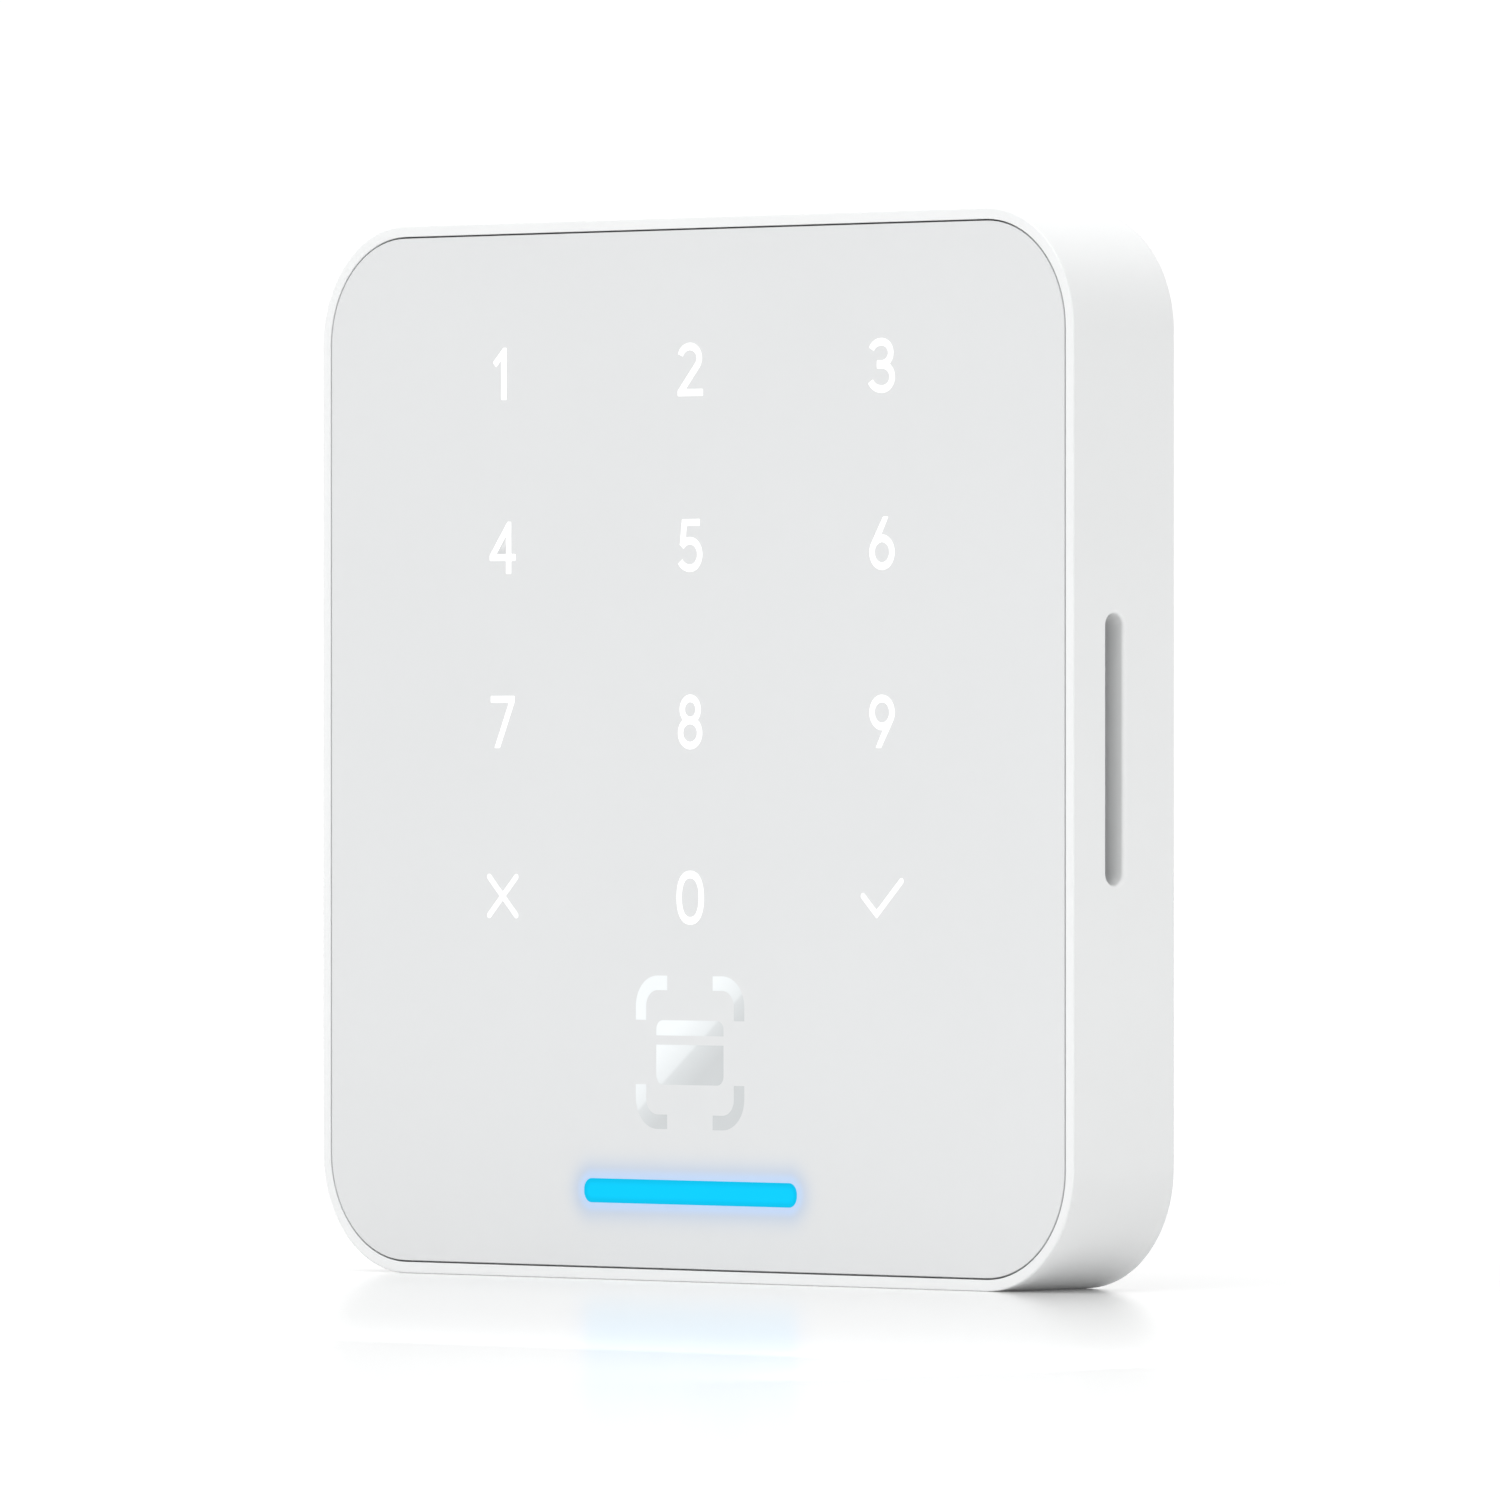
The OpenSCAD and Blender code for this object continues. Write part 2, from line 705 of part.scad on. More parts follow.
housing_shell();
keypad_panel();
legend(0);  // legend_1
legend(1);  // legend_2
legend(2);  // legend_3
legend(3);  // legend_4
legend(4);  // legend_5
legend(5);  // legend_6
legend(6);  // legend_7
legend(7);  // legend_8
legend(8);  // legend_9
legend(9);  // legend_cancel
legend(10);  // legend_0
legend(11);  // legend_enter
status_bar_lens();
tap_symbol();
panel_adhesive();
touch_film();
light_box();
key_board();
key_leds();
status_leds();
antenna_coil();
ferrite_sheet();
board_connector();
board_spacers();
main_board();
board_screws();
shield_can();
board_chips();
power_inductor();
capacitors();
terminal_block();
terminal_screws();
terminal_seal();
speaker();
speaker_gasket();
acoustic_mesh();
speaker_contacts();
rear_cover();
cover_seal();
cover_screws();
threaded_insert();
security_screw();
tamper_switch();
tamper_plunger();
tamper_spring();
reset_switch();
reset_button();
data_label();
wall_plate();
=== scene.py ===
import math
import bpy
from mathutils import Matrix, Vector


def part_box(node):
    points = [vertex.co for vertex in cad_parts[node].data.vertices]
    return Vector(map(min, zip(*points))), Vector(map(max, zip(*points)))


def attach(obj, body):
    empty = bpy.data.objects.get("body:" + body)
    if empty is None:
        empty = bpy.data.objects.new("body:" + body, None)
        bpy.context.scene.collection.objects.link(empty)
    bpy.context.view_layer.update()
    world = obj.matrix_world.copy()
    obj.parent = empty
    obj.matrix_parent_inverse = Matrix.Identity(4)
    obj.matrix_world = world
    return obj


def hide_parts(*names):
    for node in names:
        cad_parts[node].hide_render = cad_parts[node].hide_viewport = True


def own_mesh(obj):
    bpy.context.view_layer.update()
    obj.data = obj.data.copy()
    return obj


bl_info = {
    "name": "Keypad Card Reader",
    "version": (1, 0, 0),
    "blender": (4, 5, 0),
    "location": "View3D > Sidebar > Reader",
    "description": "Shells, touch panel, boards and finishes of a wall-mounted keypad and card reader",
    "category": "Add Mesh",
}

from functools import cached_property, partialmethod

import bmesh
import bpy
from bpy.props import FloatProperty, FloatVectorProperty, PointerProperty
from mathutils import Vector

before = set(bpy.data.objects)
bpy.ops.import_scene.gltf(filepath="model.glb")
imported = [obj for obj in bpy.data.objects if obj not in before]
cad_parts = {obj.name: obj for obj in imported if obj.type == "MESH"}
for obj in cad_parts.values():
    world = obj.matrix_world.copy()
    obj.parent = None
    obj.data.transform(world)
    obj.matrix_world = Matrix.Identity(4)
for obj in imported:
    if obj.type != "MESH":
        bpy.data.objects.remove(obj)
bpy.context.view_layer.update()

MM = 0.001
CORNER_STEPS = 20
EDGE_STEPS = 4
ROUND_STEPS = 48
SCREW_STEPS = 32
WELD = 1e-7
NODE_WELD = 1e-6
SHARP_ANGLE = math.radians(32)

# How far cutters reach past a face, and the usual small rounds
OVER = 1.0 * MM
SOFT = 0.15 * MM
FINE = 0.1 * MM

# Fixings
SCREW_RADIUS = 1.2 * MM
PILOT_RADIUS = 1.25 * MM
THREAD_PITCH = 0.5 * MM
HEAD_DOME = (0.15 * MM, 0.25 * MM)
CROSS_ARMS = ((2.6 * MM, 0.5 * MM), (0.5 * MM, 2.6 * MM))
CORNER_BLOCK = 12.2 * MM
LOCK_BLOCK_X = 7.0 * MM
LOCK_BLOCK_Z = 3.3 * MM
NOTCH_RADIUS = 1.8 * MM

# Rear cover and wall plate
CUP_RADIUS = 4.8 * MM
CUP_DEPTH = 2.9 * MM
CUP_WALL = 1.2 * MM
CUP_FLOOR = 1.0 * MM
SCREW_SEAT = 1.1 * MM
PLUNGER_HOLE = 2.6 * MM
BUTTON_HOLE = 1.8 * MM


def low(node):
    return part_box(node)[0]


def high(node):
    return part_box(node)[1]


# Places taken from the frame. Depths are measured from the front face towards the wall.
FRONT = low("housing_shell").y
MID_Z = (low("housing_shell").z + high("housing_shell").z) / 2
HALF = high("housing_shell").x
BODY_DEPTH = high("housing_shell").y - FRONT
PANEL_HALF = high("keypad_panel").x
PANEL_BACK = high("keypad_panel").y - FRONT
LEDGE_DEPTH = low("light_box").y - FRONT
KEY_BOARD = low("key_board").y - FRONT
MAIN_BACK = high("main_board").y - FRONT
SEAL_DEPTH = low("cover_seal").y - FRONT
COVER_DEPTH = high("cover_seal").y - FRONT
COVER_BACK = low("data_label").y - FRONT
COVER_HALF = high("rear_cover").x
PLATE_HALF = high("wall_plate").x
TAB_DEPTH = low("wall_plate").y - FRONT
WALL = HALF - high("speaker_gasket").x
SLOT_DEPTH = (low("acoustic_mesh").y + high("acoustic_mesh").y) / 2 - FRONT
BAR_LOW, BAR_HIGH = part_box("status_bar_lens")
SYMBOL_LOW, SYMBOL_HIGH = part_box("tap_symbol")
SCREW_DEPTH = (low("security_screw").y + high("security_screw").y) / 2 - FRONT


def length(name, description, default):
    return FloatProperty(
        name=name, description=description, default=default, min=0.0, precision=5, unit="LENGTH"
    )


def amount(name, description, default, unit="NONE"):
    return FloatProperty(name=name, description=description, default=default, unit=unit)


def colour(name, description, default):
    return FloatVectorProperty(
        name=name, description=description, default=default, min=0.0, max=1.0, size=3, subtype="COLOR"
    )


class ReaderSizes(bpy.types.PropertyGroup):
    """Sizes of the reader's edges, openings and fixings"""

    corner_radius: length("Corner radius", "Radius of the face's corners", 13.0 * MM)
    rim_width: length("Rim width", "Width of the rim round the panel", 1.22 * MM)
    front_edge: length("Front edge", "Round on the rim's outer edge", 0.18 * MM)
    rim_edge: length("Rim inner edge", "Round on the rim's inner edge", 0.10 * MM)
    rear_edge: length("Rear edge", "Round on the housing's rear edge", 0.30 * MM)
    panel_edge: length("Panel edge", "Round on the panel's front edge", 0.10 * MM)
    ledge_width: length("Ledge inset", "How far the ledge reaches in from the face's edge", 4.5 * MM)
    ledge_thickness: length("Ledge thickness", "Thickness of the panel's ledge", 1.2 * MM)
    slot_length: length("Slot length", "Length of the sound slot", 28.8 * MM)
    slot_width: length("Slot width", "Width of the sound slot", 2.6 * MM)
    slot_edge: length("Slot edge", "Round on the sound slot's mouth", 0.45 * MM)
    plate_thickness: length("Plate thickness", "Thickness of the wall plate", 1.2 * MM)
    screw_span_z: length("Vertical screw span", "Between the upper and lower wall screws", 83.3 * MM)
    screw_span_x: length("Horizontal screw span", "Between the left and right wall screws", 60.3 * MM)
    wall_hole_radius: length("Wall hole radius", "Radius of the wall screw holes", 2.1 * MM)
    pocket_half_x: length("Pocket half width", "Half the wiring pocket's width", 23.5 * MM)
    pocket_half_z: length("Pocket half height", "Half the wiring pocket's height", 13.5 * MM)


class ReaderColours(bpy.types.PropertyGroup):
    """Colours of the reader's finishes"""

    housing: colour("Housing", "Moulded housing", (0.860, 0.870, 0.870))
    panel: colour("Panel", "Touch panel", (0.742, 0.752, 0.756))
    glow: colour("Glow", "Status light", (0.0, 0.63, 1.0))
    foil: colour("Foil", "Card symbol", (0.80, 0.83, 0.84))
    cover: colour("Rear cover", "Moulded rear cover", (0.62, 0.63, 0.63))
    plate: colour("Wall plate", "Anodised aluminium plate", (0.52, 0.53, 0.54))
    board: colour("Boards", "Solder resist", (0.015, 0.14, 0.06))
    button: colour("Reset button", "Reset button", (0.80, 0.20, 0.02))


class ReaderStudio(bpy.types.PropertyGroup):
    """Camera, floor and light"""

    focal_length: amount("Focal length", "Lens", 400.4, "CAMERA")
    distance: length("Camera distance", "From the camera to the front face", 1.7946)
    azimuth: amount("Azimuth", "Camera's angle to the right of the face", math.radians(45), "ROTATION")
    aim_x: length("Aim across", "Where the camera aims across the face", 9.18 * MM)
    aim_z: amount("Aim height", "Where the camera aims above the face's middle", -0.06 * MM, "LENGTH")
    floor: colour("Floor", "Pale studio floor", (0.78, 0.78, 0.78))
    floor_glow: amount("Floor glow", "Light added to the floor at the reader's foot", 0.025)
    floor_lift: amount("Floor lift", "Light added to the floor far from the reader", 0.15)
    lift_start: length("Lift start", "Where the floor's added light begins, from the reader's foot", 0.06)
    lift_end: length("Lift end", "Where the floor's added light is full", 0.45)
    sky: colour("Surround", "Colour of the soft surround", (1.0, 1.0, 1.0))
    sky_strength: amount("Sky strength", "Brightness of the surround above", 0.8)
    horizon: amount("Horizon strength", "Brightness of the surround at the horizon", 1.05)
    side_strength: amount("Side strength", "How bright the surround stays on the +X side", 0.62)
    overhead_size: length("Overhead size", "Side of the square overhead light", 1.2)
    overhead_height: length("Overhead height", "From the floor to the overhead light", 1.3)
    light_power: amount("Light power", "Overhead light", 11.0, "POWER")
    strip_length: length("Strip length", "Length of each low strip light", 0.4)
    strip_height: length("Strip height", "Height of each low strip light", 0.024)
    strip_rise: length("Strip rise", "From the floor to the middle of each strip", 0.014)
    strip_distance: length("Strip distance", "From the reader to each low strip light", 0.15)
    front_power: amount("Front strip power", "Low strip before the face", 0.03, "POWER")
    side_power: amount("Side strip power", "Low strip beside it", 0.04, "POWER")


def sizes():
    return bpy.context.scene.reader_sizes


def colours():
    return bpy.context.scene.reader_colours


# ---- Outlines, as (x, z) from the middle of the face, anticlockwise from the front ----


def rounded(half_x, half_z, radius, steps=CORNER_STEPS):
    radius = max(min(radius, half_x, half_z), 0.0)
    points = []
    for corner, (side_x, side_z) in enumerate(((1, 1), (-1, 1), (-1, -1), (1, -1))):
        for step in range(steps + 1):
            turn = math.radians(90 * (corner + step / steps))
            x = side_x * (half_x - radius) + radius * math.cos(turn)
            z = side_z * (half_z - radius) + radius * math.sin(turn)
            points.append((x, z))
    return points


def circle(radius, steps=ROUND_STEPS):
    turns = [2 * math.pi * i / steps for i in range(steps)]
    return [(radius * math.cos(a), radius * math.sin(a)) for a in turns]


def quarter_turns(steps=EDGE_STEPS):
    return [math.pi / 2 * i / steps for i in range(steps + 1)]


def quarter(inset, depth, radius, start):
    """A quarter turn of an edge as (inset, depth) pairs round its centre, from an angle in degrees."""
    turns = [math.radians(start) + a for a in quarter_turns()]
    return [(inset + radius * math.cos(a), depth + radius * math.sin(a)) for a in turns]


def plate_edge(front, back, front_round, back_round):
    """The side of a plate as (inset, depth) pairs, with its front and back edges rounded."""
    turns = [(1 - math.sin(a), 1 - math.cos(a)) for a in quarter_turns()]
    first = [(front_round * across, front + front_round * along) for across, along in turns]
    last = [(back_round * along, back - back_round * across) for across, along in turns]
    return first + last


def bore_edge(front, back, front_round=0.0, back_round=0.0):
    """The side of a cutter for a hole through a plate, which rounds the hole's two mouths."""
    side = [(-inset, depth) for inset, depth in plate_edge(front, back, front_round, back_round)]
    return [(-front_round, front - OVER)] + side + [(-back_round, back + OVER)]


def blind_edge(floor, back, back_round):
    """The side of a cutter for a blind hole from the rear, with its mouth rounded."""
    return [(0.0, floor)] + bore_edge(floor, back, 0.0, back_round)[EDGE_STEPS + 2 :]


# ---- Meshes ----


def at_depth(outline, depth, x=0.0, z=0.0):
    return [Vector((x + px, FRONT + depth, MID_Z + z + pz)) for px, pz in outline]


def skin(bm, rings, closed=False):
    """Walls between neighbouring rings; the first and last ring are joined or capped."""
    loops = [[bm.verts.new(point) for point in ring] for ring in rings]
    pairs = list(zip(loops, loops[1:]))
    if closed:
        pairs.append((loops[-1], loops[0]))
    for one, two in pairs:
        for i in range(len(one)):
            j = (i + 1) % len(one)
            bm.faces.new((one[i], one[j], two[j], two[i]))
    if not closed:
        bm.faces.new(loops[0])
        bm.faces.new(loops[-1][::-1])


def swept(bm, outline, profile, x=0.0, z=0.0, closed=False):
    """A solid whose section is (inset, depth) pairs and whose outline is a function of the inset."""
    skin(bm, [at_depth(outline(inset), depth, x, z) for inset, depth in profile], closed)


def rounded_plate(half_x, half_z, radius, steps=CORNER_STEPS):
    return lambda inset: rounded(half_x - inset, half_z - inset, radius - inset, steps)


def round_plate(radius, steps=ROUND_STEPS):
    return lambda inset: circle(radius - inset, steps)


def block(bm, x, z, width, height, front, back, edge):
    outline = rounded_plate(width / 2, height / 2, edge, 3)
    swept(bm, outline, plate_edge(front, back, edge, edge), x, z)


def post(bm, x, z, radius, front, back, edge=0.0):
    swept(bm, round_plate(radius), plate_edge(front, back, edge, edge), x, z)


def turned(bm, profile, place, steps=ROUND_STEPS):
    """A turned solid from (radius, along) pairs; place puts (across, up, along) in the frame."""
    skin(bm, [[place(u, v, along) for u, v in circle(radius, steps)] for radius, along in profile])


def into_face(x, z):
    """Places a turned part whose axis runs along the depth."""
    return lambda u, v, along: Vector((x + u, FRONT + along, MID_Z + z + v))


def new_object(name, bm):
    bmesh.ops.remove_doubles(bm, verts=bm.verts, dist=WELD)
    bmesh.ops.dissolve_degenerate(bm, edges=bm.edges, dist=WELD)
    bmesh.ops.recalc_face_normals(bm, faces=bm.faces)
    mesh = bpy.data.meshes.new(name)
    bm.to_mesh(mesh)
    bm.free()
    piece = bpy.data.objects.new(name, mesh)
    bpy.context.scene.collection.objects.link(piece)
    return piece


def combine(piece, bm, operation):
    """Joins a mesh to the piece or cuts it away."""
    tool = new_object("tool", bm)
    step = piece.modifiers.new(operation.title(), "BOOLEAN")
    step.operation = operation
    step.solver = "EXACT"
    step.object = tool
    bpy.context.view_layer.update()
    graph = bpy.context.evaluated_depsgraph_get()
    result = bpy.data.meshes.new_from_object(piece.evaluated_get(graph))
    piece.modifiers.clear()
    piece.data = result
    bpy.data.objects.remove(tool)
    if not result.polygons:
        raise RuntimeError(f"{piece.name} came out empty")


def join(piece, bm):
    combine(piece, bm, "UNION")


def cut(piece, bm):
    combine(piece, bm, "DIFFERENCE")


def dressed(piece, material, body, nodes):
    """Smooth shading with crisp edges, the finish, and the piece's place in the frame."""
    mesh = piece.data
    mesh.materials.clear()
    mesh.materials.append(material)
    mesh.polygons.foreach_set("material_index", [0] * len(mesh.polygons))
    mesh.polygons.foreach_set("use_smooth", [True] * len(mesh.polygons))
    mesh.set_sharp_from_angle(angle=SHARP_ANGLE)
    normals = piece.modifiers.new("Even normals", "WEIGHTED_NORMAL")
    normals.keep_sharp = True
    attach(piece, body)
    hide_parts(*nodes)
    return piece


def node_mesh(node):
    """A CAD node's solids as one welded mesh."""
    bm = bmesh.new()
    bm.from_mesh(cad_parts[node].data)
    bmesh.ops.remove_doubles(bm, verts=bm.verts, dist=NODE_WELD)
    return bm


def add_node(bm, node, stretch):
    """Adds a CAD node's solid to a mesh, with its front face drawn forward by a distance."""
    part = node_mesh(node)
    face = low(node).y + NODE_WELD
    for vert in part.verts:
        if vert.co.y < face:
            vert.co.y -= stretch
    spare = bpy.data.meshes.new("spare")
    part.to_mesh(spare)
    part.free()
    bm.from_mesh(spare)
    bpy.data.meshes.remove(spare)


def loose_parts(node):
    """(lowest corner, highest corner) of each separate solid in a CAD node, in a fixed order."""
    bm = node_mesh(node)
    boxes = []
    seen = set()
    for start in bm.verts:
        if start in seen:
            continue
        seen.add(start)
        waiting = [start]
        points = []
        while waiting:
            vert = waiting.pop()
            points.append(vert.co.copy())
            for edge in vert.link_edges:
                other = edge.other_vert(vert)
                if other not in seen:
                    seen.add(other)
                    waiting.append(other)
        lowest = Vector([min(p[i] for p in points) for i in range(3)])
        highest = Vector([max(p[i] for p in points) for i in range(3)])
        boxes.append((lowest, highest))
    bm.free()
    return sorted(boxes, key=lambda pair: (round(pair[0].z, 5), round(pair[0].x, 5)))


def in_face(corners):
    """A box as (x, z, width, height, front, back) from the middle of the face."""
    lowest, highest = corners
    x = (lowest.x + highest.x) / 2
    z = (lowest.z + highest.z) / 2 - MID_Z
    return x, z, highest.x - lowest.x, highest.z - lowest.z, lowest.y - FRONT, highest.y - FRONT


def centre_of(node):
    return in_face(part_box(node))[:2]


def centres(node):
    """(x, z) of each separate solid in a CAD node."""
    return [in_face(part)[:2] for part in loose_parts(node)]


def threaded(tip, end, radius):
    """The crests and roots of a screw's thread between two places, as (radius, along) pairs."""
    root = radius * 0.84
    step = THREAD_PITCH if end > tip else -THREAD_PITCH
    pairs = [(radius * 0.35, tip)]
    for i in range(int(abs(end - tip) / THREAD_PITCH)):
        pairs.append((root, tip + step * (i + 0.35)))
        pairs.append((radius, tip + step * (i + 0.75)))
        pairs.append((radius, tip + step * (i + 0.85)))
    return pairs + [(root, end)]


def domed(radius, face, rise, edge, steps=6):
    """A slightly domed end with a rounded edge, from its edge in to its middle."""
    pairs = []
    for a in quarter_turns(steps):
        pairs.append((radius - edge * (1 - math.cos(a)), face - rise - edge * (1 - math.sin(a))))
    inner = radius - edge
    pairs += [(inner * (1 - k / 4), face - rise * (1 - k / 4) ** 2) for k in range(1, 4)]
    return pairs + [(inner * 0.02, face)]


# ---- Finishes ----


class Finish:
    """A material: one Principled shader and the procedural nodes that feed it."""

    def __init__(self, name, base, roughness, **settings):
        self.material = bpy.data.materials.new(name)
        self.material.use_nodes = True
        self.nodes = self.material.node_tree.nodes
        self.links = self.material.node_tree.links
        self.shader = self.nodes["Principled BSDF"]
        self.into("Base Color", (*base, 1.0))
        self.into("Roughness", roughness)
        for label, value in settings.items():
            self.into(label.replace("_", " "), value)
        self.place = self.nodes.new("ShaderNodeTexCoord").outputs["Object"]

    @cached_property
    def axes(self):
        return self.node("ShaderNodeSeparateXYZ", {0: self.place}).outputs

    def feed(self, socket, value):
        if isinstance(value, bpy.types.NodeSocket):
            self.links.new(value, socket)
        else:
            socket.default_value = value

    def into(self, label, value):
        """Feeds one of the shader's inputs with a number, a colour or another node."""
        self.feed(self.shader.inputs[label], value)

    def node(self, kind, inputs=(), **settings):
        node = self.nodes.new(kind)
        for label, value in settings.items():
            setattr(node, label, value)
        for index, value in dict(inputs).items():
            self.feed(node.inputs[index], value)
        return node

    def math(self, operation, one, two=0.0):
        return self.node("ShaderNodeMath", {0: one, 1: two}, operation=operation).outputs[0]

    plus = partialmethod(math, "ADD")
    minus = partialmethod(math, "SUBTRACT")
    times = partialmethod(math, "MULTIPLY")
    over = partialmethod(math, "DIVIDE")
    most = partialmethod(math, "MAXIMUM")
    least = partialmethod(math, "MINIMUM")
    size = partialmethod(math, "ABSOLUTE")
    root = partialmethod(math, "SQRT")
    power_of_e = partialmethod(math, "EXPONENT")
    wave = partialmethod(math, "PINGPONG")

    def stretched(self, x, y, z):
        return self.node("ShaderNodeMapping", {"Vector": self.place, "Scale": (x, y, z)}).outputs[0]

    def noise(self, size, detail=3.0, place=None):
        """Noise whose features are about that size, in metres."""
        inputs = {"Vector": place or self.place, "Scale": 1 / size, "Detail": detail, "Roughness": 0.55}
        return self.node("ShaderNodeTexNoise", inputs).outputs["Fac"]

    def spread(self, fac, from_low, from_high, to_low=0.0, to_high=1.0, soft=False):
        inputs = {0: fac, 1: from_low, 2: from_high, 3: to_low, 4: to_high}
        kind = "SMOOTHSTEP" if soft else "LINEAR"
        return self.node("ShaderNodeMapRange", inputs, interpolation_type=kind).outputs[0]

    def mix(self, fac, one, two, blend="MIX"):
        node = self.node("ShaderNodeMix", data_type="RGBA", blend_type=blend)
        self.feed(node.inputs[0], fac)
        for socket, value in ((node.inputs[6], one), (node.inputs[7], two)):
            self.feed(socket, value if isinstance(value, bpy.types.NodeSocket) else (*value, 1.0))
        return node.outputs[2]

    def drift(self, fac, base, darkest, palest, start=0.3, end=0.7):
        """A colour that drifts between two shades of itself."""
        return self.mix(self.spread(fac, start, end), shade(base, darkest), shade(base, palest))

    def base(self, socket):
        self.into("Base Color", socket)

    def rough(self, fac, lowest, highest):
        self.into("Roughness", self.spread(fac, 0.3, 0.7, lowest, highest))

    def bump(self, height, depth):
        bump = self.node("ShaderNodeBump", {"Height": height, "Distance": depth, "Strength": 1.0})
        self.into("Normal", bump.outputs[0])


def shade(base, factor):
    return tuple(min(channel * factor, 1.0) for channel in base)


def moulded(name, base, roughness, grain=0.35 * MM, relief=0.012 * MM, spread=0.02):
    """Spark-textured moulded plastic: a fine even grain, faint flow marks and a little change in gloss."""
    finish = Finish(name, base, roughness, Specular_IOR_Level=0.45)
    fine = finish.noise(grain, 4.0)
    finish.base(finish.drift(finish.noise(18 * MM, 2.0), base, 1 - spread, 1 + spread))
    finish.rough(fine, roughness - 0.06, roughness + 0.06)
    finish.bump(fine, relief)
    return finish


def metal(name, base, roughness, brush=(1.0, 1.0, 1.0), relief=0.004 * MM):
    """Bare metal with fine brush lines along the stretched direction and soft tarnish."""
    finish = Finish(name, base, roughness, Metallic=1.0)
    lines = finish.noise(0.12 * MM, 5.0, finish.stretched(*brush))
    finish.base(finish.drift(finish.noise(6 * MM), base, 0.9, 1.05))
    finish.rough(lines, roughness - 0.08, roughness + 0.12)
    finish.bump(lines, relief)
    return finish


def rubber(name, base, grain=0.25 * MM):
    """Matt rubber or foam with a fine open grain."""
    finish = Finish(name, base, 0.8, Specular_IOR_Level=0.25)
    fine = finish.noise(grain, 5.0)
    finish.base(finish.drift(fine, base, 0.7, 1.5, 0.35, 0.65))
    finish.rough(fine, 0.7, 0.9)
    finish.bump(fine, 0.03 * MM)
    return finish


def bar_distance(finish):
    """Distance from the status bar's edge, worked out in the face's own plane."""
    radius = (BAR_HIGH.z - BAR_LOW.z) / 2
    reach = (BAR_HIGH.x - BAR_LOW.x) / 2 - radius
    across = finish.most(finish.minus(finish.size(finish.axes["X"]), reach), 0.0)
    along = finish.minus(finish.axes["Z"], (BAR_LOW.z + BAR_HIGH.z) / 2)
    square = finish.plus(finish.times(across, across), finish.times(along, along))
    return finish.minus(finish.root(square), radius)


def panel_finish():
    """Satin hard coat, with the status light's soft ring painted on as a blue tint in its colour and a faint
    glow round the bar.
    """
    base = colours().panel
    finish = Finish("panel_satin", base, 0.36, Specular_IOR_Level=0.45, Coat_Weight=0.12, Coat_Roughness=0.18)
    plain = finish.drift(finish.noise(30 * MM, 2.0), base, 0.995, 1.005)
    distance = bar_distance(finish)
    # Painted light: the bar's light on the panel, as a blue tint multiplied into the colour and a faint blue
    # glow, both fading away from the bar.
    ratio = finish.over(distance, 1.8 * MM)
    fade = finish.power_of_e(finish.times(finish.times(ratio, ratio), -1.0))
    painted_halo = finish.mix(fade, (1.0, 1.0, 1.0), (0.68, 0.80, 1.0))
    finish.base(finish.mix(1.0, plain, painted_halo, "MULTIPLY"))
    finish.into("Emission Strength", finish.spread(distance, 0.3 * MM, 1.3 * MM, 0.145, 0.0, soft=True))
    finish.into("Emission Color", (0.12, 0.45, 1.0, 1.0))
    fine = finish.noise(0.16 * MM, 4.0)
    finish.rough(fine, 0.32, 0.40)
    finish.bump(fine, 0.0015 * MM)
    return finish


def legend_finish():
    """Translucent white, lit evenly from behind."""
    finish = Finish("legend_lit", (0.95, 0.95, 0.95), 0.4)
    finish.into("Emission Color", (1.0, 1.0, 1.0, 1.0))
    finish.into("Emission Strength", finish.spread(finish.noise(1.2 * MM, 2.0), 0.3, 0.7, 0.16, 0.20))
    return finish


def bar_finish():
    """Translucent lens lit blue from behind, a little deeper towards its edge."""
    glow = colours().glow
    finish = Finish("bar_lit", (0.0, 0.01, 0.02), 0.4, Specular_IOR_Level=0.04, Emission_Strength=1.0)
    depth = finish.times(bar_distance(finish), -1.0)
    core = finish.spread(depth, 0.0, 0.9 * MM, soft=True)
    shimmer = finish.spread(finish.noise(3 * MM, 1.0), 0.3, 0.7, -0.04, 0.04)
    finish.into("Emission Color", finish.mix(finish.plus(core, shimmer), shade(glow, 0.86), glow))
    return finish


def foil_finish():
    """Satin silver foil with a painted sheen: paler above a soft diagonal and greyer below it."""
    base = colours().foil
    finish = Finish("foil_silver", base, 0.35, Metallic=0.35, Specular_IOR_Level=0.6)
    half = (SYMBOL_HIGH.z - SYMBOL_LOW.z) / 2
    rise = finish.minus(finish.axes["Z"], (SYMBOL_LOW.z + SYMBOL_HIGH.z) / 2)
    slope = finish.minus(rise, finish.times(finish.axes["X"], 0.8))
    # Painted sheen: the colour runs from grey at the lower right to pale at the upper left, with a step at
    # the diagonal, standing in for reflected light.
    painted_sheen = finish.spread(slope, -half, half, soft=True)
    split = finish.spread(slope, -0.3 * MM, 0.3 * MM, -0.18, 0.12, soft=True)
    finish.base(finish.mix(finish.plus(painted_sheen, split), shade(base, 0.70), shade(base, 1.07)))
    fine = finish.noise(0.1 * MM)
    finish.rough(fine, 0.3, 0.42)
    finish.bump(fine, 0.001 * MM)
    return finish


def plate_finish():
    """Satin anodised aluminium with fine brush lines along X."""
    base = colours().plate
    finish = Finish("plate_anodised", base, 0.4, Metallic=1.0)
    lines = finish.noise(0.10 * MM, 5.0, finish.stretched(0.02, 1.0, 1.0))
    cloud = finish.noise(40 * MM, 2.0)
    tone = finish.plus(finish.times(lines, 0.7), finish.times(cloud, 0.3))
    finish.base(finish.drift(tone, base, 0.88, 1.06, 0.35, 0.65))
    finish.rough(lines, 0.34, 0.50)
    finish.bump(lines, 0.002 * MM)
    return finish


